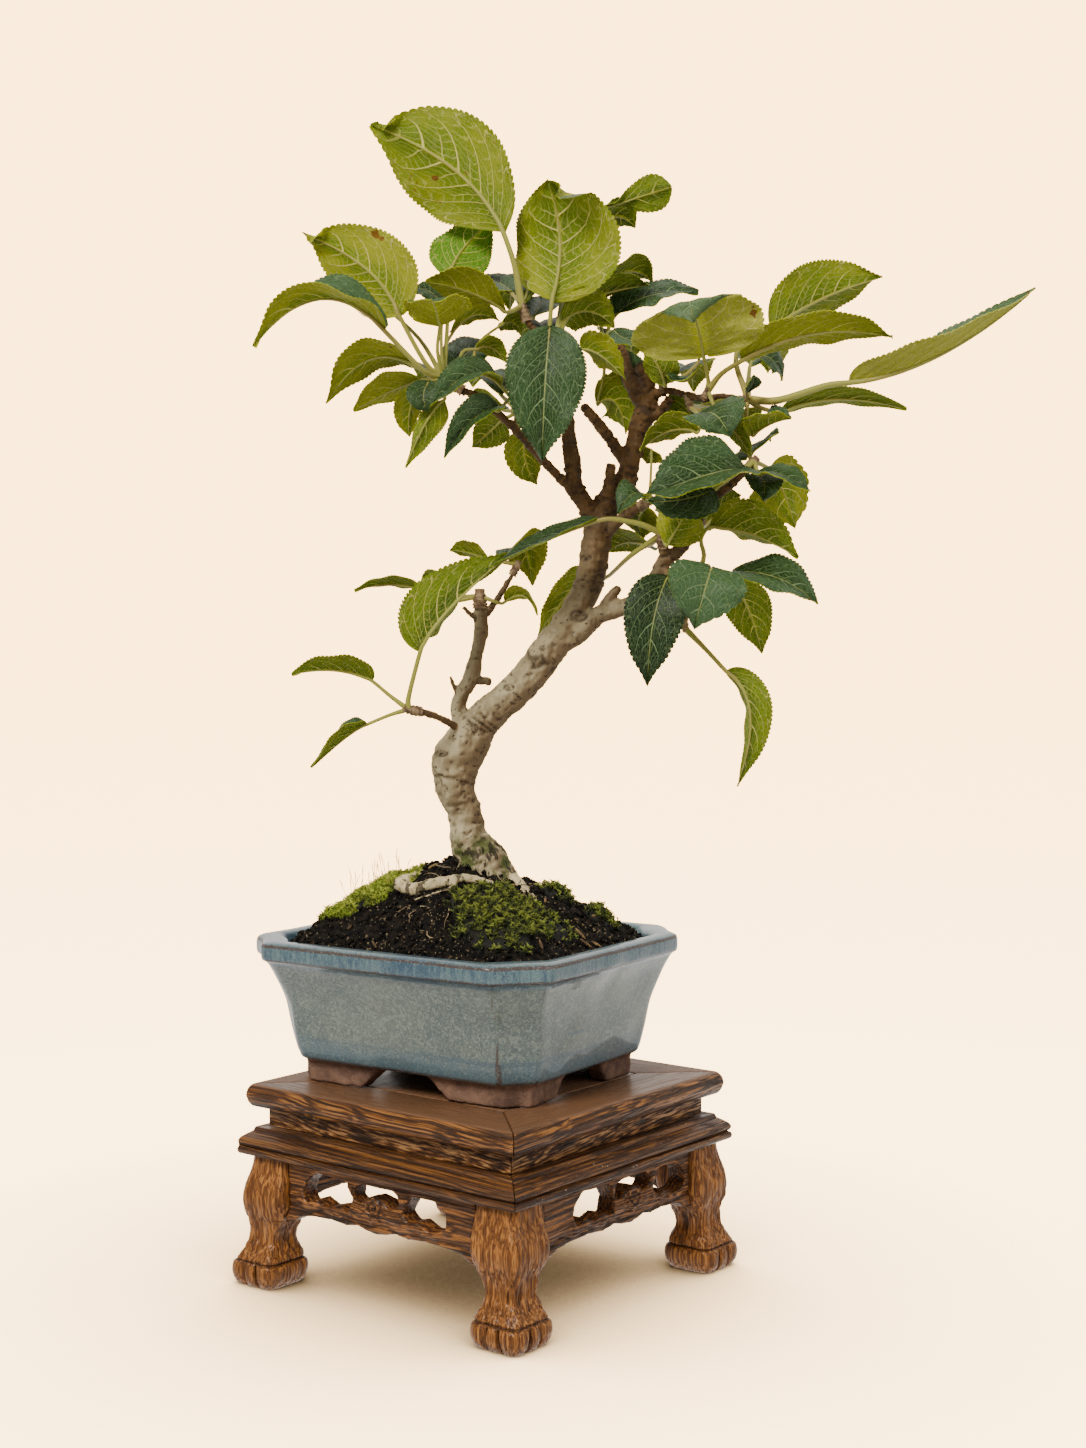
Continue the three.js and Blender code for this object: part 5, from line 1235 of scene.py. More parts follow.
def build_stand():
    woods = {}
    for part, (dark, mid, light, roughness, slant, sway) in WOODS.items():
        for axis, lean in (("x", slant), ("y", -slant)):
            dust = 0.8 if (part, axis) == ("moulding", "y") else 0
            woods[part, axis] = wood_material(f"{part}_wood_{axis}", axis, dark, mid, light, roughness,
                                              lean, sway, dust)
    softened("panel", wood_material("panel_wood", "y", "513a29", "6c4e36", "846247", 0.3, 0, 2), 0.5)
    leg = carved_leg(wood_material("leg_wood", "z", "6c401a", "a1662e", "c58444", 0.38, 0, 3))
    for quarter, side in enumerate(SIDES):
        axis = "xy"[quarter % 2]
        softened(f"rail_{side}", woods["stand", axis], 0.6)
        softened(f"waist_{side}", woods["waist", axis], 0.3)
        softened(f"moulding_{side}", woods["moulding", axis], 0.3)
        carve_apron(side, quarter, woods["apron", axis])
        finished(turned_copy(leg, f"leg_{side}", quarter), f"stand_leg_{side}")
    bpy.data.objects.remove(leg)


# ---- pot -------------------------------------------------------------------------------------------


def pot_ring(half_x, half_y, cut, z):
    """The pot's outline at a height: cut corners with a slight dent, softly rounded."""
    middle = cut / 2 + CORNER_DENT
    quarter = [(half_x, half_y - cut), (half_x - middle, half_y - middle), (half_x - cut, half_y)]
    corners = []
    for sign_x, sign_y in ((1, 1), (-1, 1), (-1, -1), (1, -1)):
        corner = [(sign_x * x, sign_y * y) for x, y in quarter]
        corners += corner if sign_x * sign_y > 0 else corner[::-1]
    outline = resampled(rounded_outline(corners, 2.6), 264)
    return np.column_stack([from_pot(outline), np.full(len(outline), z)])


def hole_ring(like, radius, z):
    """A round hole's ring with as many points as another ring, at the same bearings."""
    centre = np.array(POT_PLACE)
    return np.column_stack([centre + unit(like[:, :2] - centre) * radius, np.full(len(like), z)])


def worn_edges(pot):
    """How near each vertex is to an edge of the rim or of the corners, where the glaze runs thin."""
    points = (coordinates(pot) - MIDDLE) / MM
    x, y = np.abs(to_pot(points)).T
    z = points[:, 2]
    rows = np.array(POT_OUTSIDE)
    half_x, half_y, cut = (np.interp(z, rows[:, 3], rows[:, k]) for k in range(3))
    rim_x, rim_y, rim_cut, _ = rows[RIM_ROW]
    reach = np.maximum.reduce([x / rim_x, y / rim_y, (x + y) / (rim_x + rim_y - rim_cut)])
    outside = smoothstep(reach, 0.95, 0.98)
    upper, lower = (np.exp(-((z - height) / 0.8) ** 2) for height in RIM_EDGES)
    to_corner = np.minimum(np.hypot(x - half_x, y - half_y + cut), np.hypot(x - half_x + cut, y - half_y))
    corner = np.exp(-(to_corner / 1.3) ** 2) * (z < WALL_TOP)
    return np.clip(1.05 * outside * upper + 0.8 * lower + 0.95 * corner, 0, 1)


def pot_body():
    outside = smooth_rows(POT_OUTSIDE, 4)
    inside = smooth_rows(POT_INSIDE, 4)
    rings = [pot_ring(*row) for row in np.vstack([outside, inside])]
    rings = [hole_ring(rings[0], DRAIN_RADIUS, outside[0][3])] + rings
    rings.append(hole_ring(rings[-1], DRAIN_RADIUS, inside[-1][3]))
    rings.append(rings[0])
    rings = np.array(rings)
    out = unit((rings - (*POT_PLACE, 0)) * (1, 1, 0))
    rings += 0.35 * ripple(rings, 38, 3)[..., None] * out
    closed = np.concatenate([rings, rings[:, :1]], axis=1)
    pot = surface("pot_glazed", boxed(world(closed)), glaze_material())
    give(pot, "edge", worn_edges(pot))
    smooth(pot, 50)
    return pot


def pot_feet():
    """The feet of the CAD pot as worn clay: all of it up to just over the floor."""
    feet = copied("pot", "feet", clay_material())
    cut_at = world([(0, 0, POT_OUTSIDE[0][3] + 0.6)])[0]
    in_edit_mode(feet, lambda: bpy.ops.mesh.bisect(plane_co=cut_at, plane_no=(0, 0, 1), use_fill=True,
                                                   clear_outer=True))
    fused(feet, 1.0, 0.6, 2)
    grit = coordinates(feet)
    place_vertices(feet, grit + normals(feet) * (0.14 * ripple(grit / MM, 4, 8))[:, None] * MM)
    smooth(feet)
    return feet


def build_pot():
    finished(joined("pot_glazed", [pot_body(), pot_feet()]), "pot")


# ---- soil and moss ---------------------------------------------------------------------------------

PEAK = to_pot(from_tree(PEAK_PLACE))


def soil_height(plan):
    """The mound's height over places in the stand's frame."""
    away = to_pot(plan) - PEAK
    share = np.abs(away) / (MOUND_HALF - np.sign(away) * PEAK)
    rise = np.maximum(1 - (share ** SOIL_CORNERS).sum(axis=-1) ** (1 / SOIL_CORNERS), 0) ** SOIL_ROUNDING
    x, y = plan[..., 0], plan[..., 1]
    lumps = np.sin(x / 5.3 + 1) * np.cos(y / 4.7) + 0.6 * np.sin((x + y) / 3.1)
    return SOIL_EDGE + (SOIL_PEAK - SOIL_EDGE) * rise + lumps * np.minimum(rise * 3, 1)


def on_soil(plan, lift):
    return np.column_stack([plan[:, :2], soil_height(plan) + lift])


def scattered(name, model, places, sizes, material, stretch, lean, seed):
    """Copies of a small model at many places in one mesh, each spun, leant and stretched by a draw."""
    draw = np.random.default_rng(seed)
    shape = coordinates(model)
    faces = np.array([face.vertices[:] for face in model.data.polygons])
    count = len(places)
    turn = draw.uniform(0, 2 * math.pi, count)
    tilt = draw.uniform(0, 1, count) * lean
    course = draw.uniform(0, 2 * math.pi, count)
    sized = shape[None] * np.asarray(sizes)[:, None, None]
    sized = sized * draw.uniform(1 - stretch, 1 + stretch, (count, 1, 3))
    cos, sin = np.cos(turn)[:, None], np.sin(turn)[:, None]
    spun = np.stack([sized[..., 0] * cos - sized[..., 1] * sin,
                     sized[..., 0] * sin + sized[..., 1] * cos, sized[..., 2]], axis=-1)
    axis = np.stack([np.cos(course), np.sin(course), np.zeros(count)], axis=-1)[:, None]
    c, s = np.cos(tilt)[:, None, None], np.sin(tilt)[:, None, None]
    spun = spun * c + np.cross(axis, spun) * s + axis * (spun * axis).sum(-1, keepdims=True) * (1 - c)
    points = spun + np.asarray(places)[:, None]
    all_faces = (faces[None] + (np.arange(count) * len(shape))[:, None, None]).reshape(-1, faces.shape[1])
    mesh = bpy.data.meshes.new(name)
    mesh.from_pydata(world(points.reshape(-1, 3)).tolist(), [], all_faces.tolist())
    mesh.materials.append(material)
    piece = bpy.data.objects.new(name, mesh)
    bpy.context.scene.collection.objects.link(piece)
    return piece


def crumb_model():
    """One angular crumb about one unit across."""
    crumb = added(bpy.ops.mesh.primitive_ico_sphere_add, subdivisions=1, radius=0.5)
    points = coordinates(crumb)
    place_vertices(crumb, points * (1 + 0.25 * ripple(points, 0.5, 4))[:, None])
    return crumb


def in_mound(draw, count):
    """Random places over the mound, inside the pot's rim."""
    plan = np.column_stack([draw.uniform(-half, half, count) for half in STREWN_HALF])
    return from_pot(plan[(np.abs(plan) / STREWN_HALF).sum(axis=1) < STREWN_CORNER])


def soil_body(material):
    """The crumbly mound: a square grid spread to the pot's plan, with a copy of it at the floor."""
    square = np.stack(np.meshgrid(np.linspace(-1, 1, 140), np.linspace(-1, 1, 126)), axis=-1)
    reach = np.abs(square).max(axis=-1, keepdims=True)
    on_rim = unit(square)
    on_rim /= np.abs(on_rim / SOIL_HALF).max(axis=-1, keepdims=True)
    beyond = (np.abs(on_rim) / SOIL_HALF).sum(axis=-1, keepdims=True) / (2 - SOIL_CUT)
    plan = from_pot(on_rim / np.maximum(beyond, 1) * reach)
    top = np.concatenate([plan, soil_height(plan)[..., None]], axis=-1)
    crumbly = 0.5 * ripple(top, 4.2, 21) + 0.38 * ripple(top, 2.1, 22) + 0.25 * ripple(top, 1.2, 23)
    top[..., 2] += crumbly * smoothstep(1 - reach[..., 0], 0.0, 0.04) - 0.3
    mound = surface("soil_mound", world(top), material)
    in_edit_mode(mound, extruded(-30 * MM))
    points = coordinates(mound)
    low = points[:, 2] < (SOIL_EDGE - 8) * MM + (points[:, 2].max() - SOIL_PEAK * MM)
    centre = world((*POT_PLACE, 0))[:2]
    points[low, 2] = SOIL_FLOOR * MM
    points[low, :2] = centre + (points[low, :2] - centre) * FLOOR_SHARE
    place_vertices(mound, points)
    in_edit_mode(mound, face_outwards)
    return mound


def chips(draw, count=44):
    """Small bark chips that lie on the soil, more of them to the right."""
    finish = root_material("bark_chip", "4b3826", "a08350")
    for k in range(count):
        spots = in_mound(draw, 8)
        spot = spots[np.argmax(spots @ ACROSS[:2])] if k % 2 else spots[0]
        length = draw.uniform(2, 5.5)
        bearing = draw.uniform(0, math.pi)
        steps = np.linspace(-0.5, 0.5, 5)[:, None] * length
        path = spot + steps * np.array([math.cos(bearing), math.sin(bearing)])
        yield tube(f"chip_{k}", on_soil(path, 0.5), [0.3, 0.6, 0.7, 0.5, 0.25], 5, finish)


def fibres(draw, count=46, steps=9):
    """Pale root fibres that wander over the soil and stay inside the pot."""
    finish = root_material("root_fibre", "6f5a40", "b7a27c")
    arch = 0.3 + 0.5 * np.sin(np.linspace(0, math.pi, steps))
    for k in range(count):
        spot = in_mound(draw, 4)[0]
        bearing = draw.uniform(0, 2 * math.pi) + np.cumsum(draw.normal(0, 0.35, steps))
        way = np.column_stack([np.cos(bearing), np.sin(bearing)])
        path = spot + np.cumsum(way * draw.uniform(0.8, 2.0), axis=0)
        away = np.abs(to_pot(path))
        if (away / STREWN_HALF).sum(axis=1).max() <= 1.6 and (away <= (60, 53)).all():
            yield tube(f"fibre_{k}", on_soil(path, arch), np.linspace(0.28, 0.12, steps), 5, finish)


def build_soil():
    finish = soil_material()
    mound = soil_body(finish)
    draw = np.random.default_rng(31)
    places = in_mound(draw, 3700)
    sizes = 0.7 + 2.0 * draw.random(len(places)) ** 3
    crumb = crumb_model()
    crumbs = scattered("crumbs", crumb, on_soil(places, 0.25), sizes, finish, 0.3, math.pi, 1)
    bpy.data.objects.remove(crumb)
    rounded = [mound, *chips(draw), *fibres(draw)]
    for part in rounded:
        smooth(part)
    finished(joined("soil_mound", [mound, crumbs, *rounded[1:]]), "soil")


def shoot_model():
    """One moss plant about one unit tall: a bent stem with five pointed leaflets."""
    cone = bpy.ops.mesh.primitive_cone_add
    parts = [added(cone, vertices=5, radius1=0.14, radius2=0, depth=1.0, location=(0, 0, 0.5))]
    bpy.ops.object.transform_apply(location=True)
    for k in range(5):
        bearing = 2.4 * k
        place = (0.24 * math.sin(bearing), -0.24 * math.cos(bearing), 0.4 + 0.15 * k)
        parts.append(added(cone, vertices=3, radius1=0.13, radius2=0, depth=0.6, location=place,
                           rotation=(0.95, 0, bearing)))
        bpy.ops.object.transform_apply(location=True, rotation=True)
    shoot = joined("moss_plant", parts)
    in_edit_mode(shoot, lambda: bpy.ops.mesh.quads_convert_to_tris())
    return shoot


def moss_places(patch, angle, reach):
    """Places at bearings and shares of the reach of a patch with a ragged edge, held off the main root."""
    across, back, radius_x, radius_y, raggedness = patch
    ragged = 0.08 * np.sin(3 * angle + across) + 0.05 * np.cos(5 * angle) + 0.03 * np.sin(9 * angle)
    reach = reach * (1 + raggedness * ragged)
    behind = back + np.sin(angle) * radius_y * reach
    if back < MOSS_LIMIT:
        behind = np.minimum(behind, MOSS_LIMIT + 0.25 * (behind - MOSS_LIMIT))
    return level_places(across + np.cos(angle) * radius_x * reach, behind)


def moss_cushion(patch, height, order, material):
    """The low ground that the plants stand on."""
    angle = np.linspace(0, 2 * math.pi, 72, endpoint=False)
    rings = []
    for share, rise in CUSHION_ROWS:
        plan = moss_places(patch, angle, share)
        rough = 0.35 * ripple(plan, 3.5, 50 + order)
        rings.append(on_soil(plan, 0.3 + rise * height * 0.7 + rough * rise - (share == 1)))
    under = [ring - (0, 0, 3.5) for ring in rings[::-1]]
    return surface("cushion", world(ringed([*rings, *under])), material)


def moss_plants(draw, patch, height, order, model, material, crowd, dense, size, grow):
    """Plants over a patch, in tufts where dense is high."""
    count = int(patch[2] * patch[3] * crowd)
    angle = draw.uniform(0, 2 * math.pi, count)
    reach = np.sqrt(draw.random(count)) * 1.06
    plan = moss_places(patch, angle, reach)
    kept = ripple(plan, size, 60 + order) + 0.9 * (1 - reach) > dense
    plan, reach = plan[kept], reach[kept]
    lift = np.maximum(1 - reach ** 3, 0) * height * 0.7
    sizes = draw.uniform(1.2, 3.1, len(plan)) * grow
    plants = scattered("plants", model, on_soil(plan, lift - 0.3), sizes, material, 0.2, 0.6, 70 + order)
    give(plants, "tip", np.tile(coordinates(model)[:, 2], len(plan)))
    return plants


def moss_stems(draw, across, back, radius_x, radius_y, height):
    """Hair-thin spore stems that stand over the moss."""
    finish = root_material("spore_stem", "a08a3c", "c9b766")
    for k in range(26):
        angle = draw.uniform(0, 2 * math.pi)
        reach = math.sqrt(draw.random()) * 0.8
        root = level_places(across + math.cos(angle) * radius_x * reach,
                            back + math.sin(angle) * radius_y * reach)
        base = on_soil(root[None], height * 0.5)[0]
        lean = draw.normal(0, 0.16, 2)
        tall = draw.uniform(5, 13)
        t = np.linspace(0, 1, 6)[:, None]
        points = base + t * (*(lean * tall), tall) + t ** 2 * (*(lean * 2), 0)
        yield tube(f"stem_{k}", points, [0.11, 0.1, 0.09, 0.08, 0.16, 0.1], 5, finish)


def build_moss():
    """The left patch is bright, closed and has spore stems; the others are deep green and grow in tufts."""
    bright = moss_material("moss_bright", "48550f", "7d8f1e", "b8c144")
    deep = moss_material("moss_deep", "090d02", "202805", "8c9632")
    ground = moss_material("moss_ground", "0b0905", "151a07", "151a07")
    plant = shoot_model()
    for order, (name, (*place, height)) in enumerate(MOSS.items()):
        draw = np.random.default_rng(40 + order)
        if name == "moss_left":
            patch, growth = (*place, 1), (bright, 9, -0.75, 4.5, 1)
        else:
            patch, growth = (*place, 1.8), (deep, 8, 0.42, 3.6, 1.25)
        parts = [moss_cushion(patch, height, order, ground),
                 moss_plants(draw, patch, height, order, plant, *growth)]
        if name == "moss_left":
            parts += moss_stems(draw, *place, height)
        finished(joined(f"{name}_grown", parts), name)
    bpy.data.objects.remove(plant)


# ---- wood ------------------------------------------------------------------------------------------


def root_rows():
    """The roots as rows like the limbs': their heights are over the soil."""
    for root in ROOTS:
        across, back, radius, height = np.array(root, float).T
        height = soil_height(level_places(across, back)) + height
        yield np.column_stack([across, back, height, radius])


def lobed(rings, middle, height):
    """The main trunk's rings with shallow lobes that grow into the root flare."""
    angle = (2 * math.pi * np.arange(LIMB_SIDES) / LIMB_SIDES)[None]
    height = height[:, None]
    flare = np.clip((FLARE_TOP - height) / 16, 0, 1)
    lobes = (1 + 0.05 * np.sin(2 * angle + height * 0.09) + flare * 0.15 * np.cos(4 * angle + 0.6)
             + flare * 0.08 * np.cos(7 * angle))
    return middle[:, None] + (rings - middle[:, None]) * lobes[..., None]


def limb_bodies(material):
    """A round body through each limb's rows, and for all of them middles, radii and distances along."""
    parts, courses = [], []
    limbs = [np.array(rows, float) for rows in LIMBS.values()] + list(root_rows())
    for k, rows in enumerate(limbs):
        dense = smooth_rows(rows, LIMB_STEPS)
        middle, radius = from_tree(dense[:, :3]), dense[:, 3]
        rings = tube_rings(middle, radius, LIMB_SIDES)
        if k == 0:
            rings = lobed(rings, middle, dense[:, 2])
        parts.append(surface(f"limb_{k}", world(ringed(rings)), material))
        travelled = np.concatenate([[0], np.cumsum(np.linalg.norm(np.diff(middle, axis=0), axis=1))])
        courses.append(np.column_stack([middle, radius, travelled + LIMB_GAP * k]))
    return parts, courses


def bark_creases(at, along, old, to_ring, wrinkle, nodes, on_root):
    """Dark lines beside the ring scars, round the trunk's nodes and in scars and wrinkles, few on roots;
    they are sunk into the bark, and their dark colour is painted shade.
    """
    crease = np.exp(-((to_ring - 1.3) / 0.4) ** 2) * (1 - old)
    patchy = smoothstep(ripple(at, 9, 88), -0.8, -0.2)
    waver = 0.9 * ripple(at, 12, 87)
    for node in nodes:
        for step in (-2.4, 0, 2.1):
            from_node = np.abs(along - node - step - waver)
            crease = np.maximum(crease, np.exp(-(from_node / 0.55) ** 2) * patchy)
    for place, wide, tall in SCARS:
        away = at - from_tree(place)
        reach = np.sqrt((away @ ACROSS / wide) ** 2 + (away @ BACK / 5) ** 2 + (away[:, 2] / tall) ** 2)
        crease = np.maximum(crease, np.exp(-((reach - 1) / 0.28) ** 2) + 1.5 * np.exp(-(reach / 0.55) ** 2))
    return np.maximum(crease, 0.95 * wrinkle) * (1 - 0.85 * on_root)


def build_wood():
    """A voxel skin fuses the limbs' round bodies, and the bark is raised on it."""
    parts, courses = limb_bodies(bark_material())
    wood = joined("trunk_wood", parts)
    fused(wood, 0.78, 0.5, 2)
    points = coordinates(wood)
    at = (points - MIDDLE) / MM
    along, girth = nearest_course(at, np.concatenate(courses))
    old = smoothstep(-at[:, 2], -YOUNG_WOOD, -OLD_WOOD)
    lump = (0.22 + 0.1 * old) * ripple(at, 9, 81) * np.clip(girth / 6, 0.2, 1.2) + 0.1 * ripple(at, 3, 82)
    phase = along / 2.3 + 0.8 * ripple(at, 10, 83)
    wrinkle = np.maximum(np.sin(phase * 2 * math.pi * 0.62), 0) ** 8 * old
    wrinkle *= smoothstep(ripple(at, 6, 86), -0.3, 0.3)
    course = along / RING_GAP + 0.25 * ripple(at, 26, 84)
    to_ring = np.abs(course - np.round(course)) * RING_GAP
    ring = 0.5 * np.exp(-(to_ring / 1.1) ** 2) * (1 - old) * np.clip(girth / 4, 0.3, 1)
    on_root = (along >= LIMB_GAP * len(LIMBS)) * (at[:, 2] < ROOT_TOP)
    nodes = courses[0][LIMB_STEPS * np.array(TRUNK_NODES), 4]
    crease = bark_creases(at, along, old, to_ring, wrinkle, nodes, on_root)
    seam = 0.12 * ripple(at * (1, 1, 0.3), 1.6, 85)
    place_vertices(wood, points + normals(wood) * (lump - 0.45 * crease + ring + seam)[:, None] * MM)
    # How far each vertex faces down and to the right, for the bark's painted shade.
    shaded = smoothstep(normals(wood) @ from_tree([0.72, -0.2, -0.66]), -0.25, 0.7)
    for label, values in (("girth", girth), ("root", on_root), ("crease", crease), ("shaded", shaded)):
        give(wood, label, values)
    smooth(wood)
    finished(wood, "trunk")


def nearest_course(points, courses):
    """For each point, how far along its limb it is and how thick the limb is there."""
    found = []
    for start in range(0, len(points), 4000):
        part = points[start:start + 4000]
        gap = np.linalg.norm(part[:, None] - courses[None, :, :3], axis=-1) / (courses[:, 3] + 0.5)
        found.append(courses[gap.argmin(axis=1), 3:])
    girth, along = np.concatenate(found).T
    return along, girth


# ---- leaves ----------------------------------------------------------------------------------------


def blade_model(teeth, columns):
    """A flat slab whose vertices number the columns from -1 to 1, the rows, and the two sides."""
    slab = added_grid(2 * columns, 3 * teeth, 2)
    in_edit_mode(slab, extruded(1), face_outwards)
    slab.data.materials.append(UPPER)
    slab.data.materials.append(UNDER)
    for face in slab.data.polygons:
        face.material_index = 0 if face.normal.z > 0.5 else 1
    return slab


def rib_frames(one, share):
    """Points along the rib with the directions across the blade and out of its upper side."""
    base, mid, tip = one["base"], one["mid"], one["tip"]
    control = 2 * mid - (base + tip) / 2
    share = share[..., None]
    centre = arc(share, base, control, tip)
    along = unit(2 * (1 - share) * (control - base) + 2 * share * (tip - control))
    blend = smoothstep(share, 0.3, 0.7)
    face = unit(np.array(one["face"], float)) * (1 - blend) + unit(np.array(one["end_face"], float)) * blend
    side = np.cross(unit(tip - base) + 0 * face, face)
    side = unit(side - along * (side * along).sum(-1, keepdims=True))
    top = np.cross(side, along)
    if one["droop"]:
        centre, top = drooped(one, share[..., 0], centre, top, along)
    return centre, side, top


def drooped(one, share, centre, top, along):
    """Past the droop's place the blade bends down over a small arc and hangs on straight."""
    place, most, radius = one["droop"]
    over = np.maximum(share - place, 0) * leaf_length(one)
    turn = np.minimum(over / radius, most)
    rest = over - turn * radius
    plain = {**one, "droop": None}
    held, _, held_top = rib_frames(plain, np.array([place]))
    ahead = unit(rib_frames(plain, np.array([place + 0.01]))[0] - held)
    forward = (radius * np.sin(turn) + rest * np.cos(turn))[..., None]
    down = (radius * (1 - np.cos(turn)) + rest * np.sin(turn))[..., None]
    past = (share > place)[..., None]
    bent = held[0] + ahead[0] * forward - held_top[0] * down
    bent_top = held_top[0] * np.cos(turn)[..., None] + ahead[0] * np.sin(turn)[..., None]
    return np.where(past, bent, centre), np.where(past, bent_top, top)


def half_width(one, share):
    skew = math.log(0.5) / math.log(one["belly"])
    swelling = np.maximum(np.sin(math.pi * share ** skew), 0) ** 0.75
    narrowed = 1 - one["point"] * smoothstep(share, 0.78, 1)
    return one["width"] / 2 * swelling * (1 - 0.12 * share) * narrowed


def leaf_length(one):
    return np.linalg.norm(one["mid"] - one["base"]) + np.linalg.norm(one["tip"] - one["mid"])


def vein_course(share, lateral):
    """Which side vein, as a share of them all, runs through a place on the blade."""
    bend = 0.62 * lateral + 0.38 * lateral ** 3
    low = np.zeros_like(share)
    high = np.ones_like(share)
    for _ in range(24):
        p = (low + high) / 2
        start = p ** VEIN_LEAN
        end = 1 - (1 - p) ** VEIN_LEAN
        before = start + (end - start) * bend < share
        low = np.where(before, p, low)
        high = np.where(before, high, p)
    return (low + high) / 2


def with_uv(piece, course, lateral, way):
    """Gives the blade its vein coordinates; the middle's vertices take the side of each face."""
    corners = np.empty(len(piece.data.loops), np.int32)
    piece.data.loops.foreach_get("vertex_index", corners)
    face_way = np.concatenate([np.full(len(face.vertices), np.sign(way[list(face.vertices)].sum()))
                               for face in piece.data.polygons])
    uv = np.column_stack([course[corners] + np.where(face_way > 0, 0, 0.5), lateral[corners]])
    piece.data.uv_layers.new(name="veins").data.foreach_set("uv", uv.astype(np.float32).ravel())


def blade(one, model, teeth, pairs, order):
    """One blade: rows lean out to the teeth, the blade swells between its side veins and may curl."""
    piece = model.copy()
    piece.data = model.data.copy()
    bpy.context.scene.collection.objects.link(piece)
    flat = coordinates(model)
    row = np.rint((flat[:, 1] + 1) * 1.5 * teeth).astype(int)
    phase = row % 3
    margin = np.clip((row // 3 + np.array(TOOTH_STEPS)[phase]) / teeth, 0.003, 0.997)
    lateral = np.abs(flat[:, 0]) ** 1.1
    way = np.sign(flat[:, 0])
    share = margin ** 1.3 + (margin - margin ** 1.3) * lateral
    centre, side, top = rib_frames(one, share)
    half = half_width(one, share)
    toothed = smoothstep(margin, 0.04, 0.2) * (1 - smoothstep(margin, 0.95, 1)) * min(one["width"] / 30, 1)
    out = half * lateral
    out += np.array(TOOTH_OUT)[phase] * toothed * np.minimum(half / 5, 1) * lateral ** 8
    course = vein_course(share, lateral) * pairs
    pillow = np.abs(np.sin(math.pi * (course + np.where(way > 0, 0, 0.5))))
    pillow *= (4 * lateral * (1 - lateral)) ** 0.7
    size = one["width"] / 40
    wave = 0.03 * one["width"] * np.sin(9 * share + way + one["width"]) * lateral ** 2
    wave += 0.018 * one["width"] * np.sin(21 * share + 2 * way + order) * lateral ** 3
    above = flat[:, 2] > 0.5
    rib = np.exp(-(lateral / 0.05) ** 2) * np.where(above, -RIB_DIP, 0.0)
    lift = wave + 0.85 * size * pillow
    for curl_way, place, reach, start, angle in one["curls"]:
        amount = np.exp(-((share - place) / reach) ** 2) * (way == curl_way)
        beyond = np.maximum(lateral - start, 0) * half
        turn = math.radians(angle) * amount * np.minimum((lateral - start) / (1.001 - start) * 1.5, 1)
        out -= beyond * (1 - np.cos(turn))
        lift += beyond * np.sin(turn)
    lift += rib + np.where(above, HALF_THICK, -HALF_THICK)
    fold = math.radians(one["fold"])
    place = (centre + side * (way * (out * math.cos(fold) - lift * math.sin(fold)))[:, None]
             + top * (out * math.sin(fold) + lift * math.cos(fold))[:, None])
    middle = flat[:, 0] == 0
    place[middle] = (centre + top * lift[:, None])[middle]
    place_vertices(piece, boxed(world(from_tree(place))))
    with_uv(piece, course, lateral, way)
    give(piece, "share", share)
    give(piece, "tone", np.full(len(flat), one["tone"]))
    return piece


def without_uv(piece, tone):
    """A tube's own coordinates go before it is joined to the blades; it takes their tone."""
    piece.data.uv_layers.remove(piece.data.uv_layers[0])
    give(piece, "tone", np.full(len(piece.data.vertices), tone))
    return piece


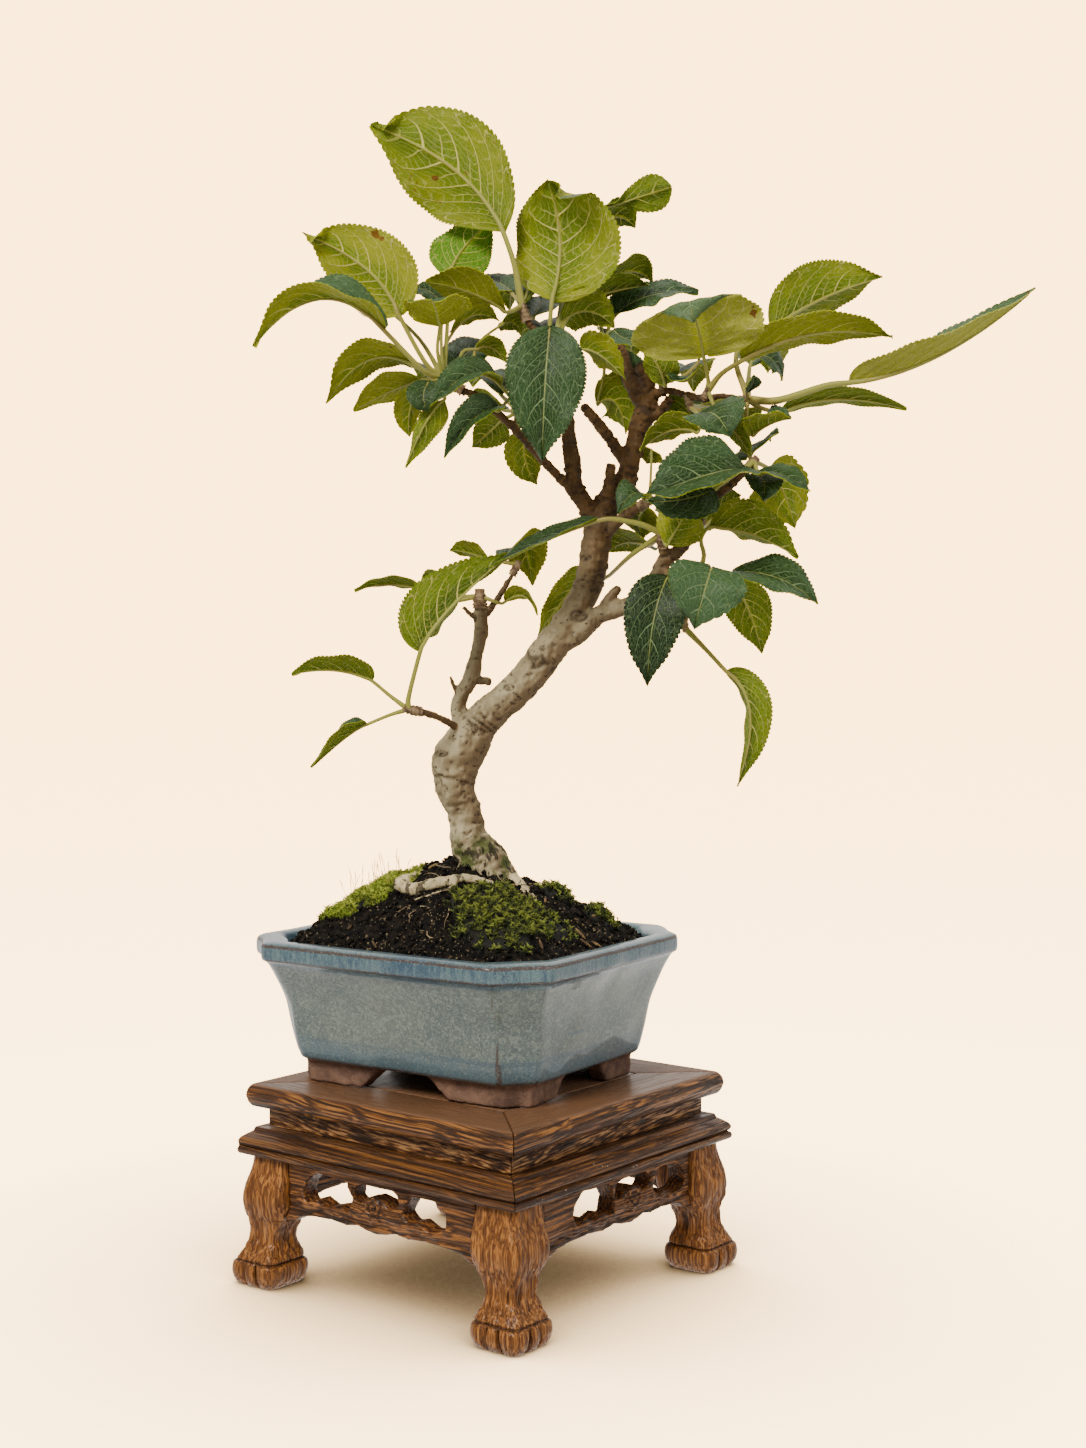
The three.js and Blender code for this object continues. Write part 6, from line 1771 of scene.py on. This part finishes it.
def stalk(one, hub, radius):
    """The leaf's stalk from the spur to the blade and on under the blade as its midrib."""
    hub = np.array(hub, float)
    first = np.array([*one["via"], one["base"]][0], float)
    start = hub + unit(first - hub) * radius * 0.35
    thick = 0.62 + 0.011 * leaf_length(one)
    share = np.array([0.0, 0.12, 0.3, 0.5, 0.7, 0.86, 0.96])
    centre, _, top = rib_frames(one, share)
    rib_radius = thick * np.array([0.72, 0.62, 0.5, 0.4, 0.3, 0.2, 0.12])
    rib_path = centre - top * (0.12 + rib_radius * 0.85)[:, None]
    route = np.vstack([start, *[np.array(p, float) for p in one["via"]], rib_path])
    lead = len(route) - len(rib_path)
    radii = np.concatenate([np.linspace(1.15, 0.8, lead) * thick, rib_radius])
    rows = smooth_rows(np.column_stack([route, radii]), 4)
    return without_uv(tube("stalk", from_tree(rows[:, :3]), rows[:, 3], 7, STALK), one["tone"])


def spur(seat, hub, radius, order):
    """A short woody spur with the rings of old bud scales."""
    seat, hub = np.array(seat, float), np.array(hub, float)
    tip = hub + unit(hub - seat) * radius * 0.9
    t = np.linspace(0, 1, 15)
    path = np.where(t[:, None] < 0.75, seat + (hub - seat) * t[:, None] / 0.75,
                    hub + (tip - hub) * (t[:, None] - 0.75) / 0.25)
    radii = radius * (0.85 - 0.35 * t ** 3) * (1 + 0.12 * np.cos(t * 26)) + 0.2
    rings = tube_rings(from_tree(path), radii, 14)
    out = unit(rings - rings.mean(axis=1, keepdims=True))
    rings = rings + out * (0.16 * ripple(rings, 1.8, order))[..., None]
    return without_uv(surface("spur", world(ringed(rings)), SPUR), 0.5)


def build_shoots():
    models = [(blade_model(teeth, columns), teeth, *rest) for teeth, columns, *rest in BLADES]
    order = 0
    for name, (seat, hub, radius, leaves) in SHOOTS.items():
        parts = [spur(seat, hub, radius, 90 + order)]
        for one in leaves:
            order += 1
            model, teeth, pairs, _ = next(row for row in models if leaf_length(one) < row[3])
            parts.append(blade(one, model, teeth, pairs, order))
            parts.append(stalk(one, hub, radius))
        piece = joined(f"shoot_{name}", parts)
        smooth(piece, 70)
        finished(piece, f"leaves_{name}")
    for model, *_ in models:
        bpy.data.objects.remove(model)


# ---- the whole -------------------------------------------------------------------------------------

UPPER = leaf_material("leaf_upper", ("102608", "1e3e0e", "416038", "2c5a06", "8fa873"),
                      clear=0.7, depth=0.12, gloss=0.22, roughness=0.34, sink=-1.0)
UNDER = leaf_material("leaf_under", ("3d5606", "6c8206", "a0a41c", "528a00", "dcd47c"),
                      clear=0.97, depth=0.5, gloss=0.12, roughness=0.55, sink=1.0)
STALK = stalk_material()
SPUR = spur_material()

add_floor()
add_world()
add_camera()
add_lamps()
build_stand()
build_pot()
build_soil()
build_moss()
build_wood()
build_shoots()

boxes = [[list(corner) for corner in box] for box in (cad_box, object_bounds())]
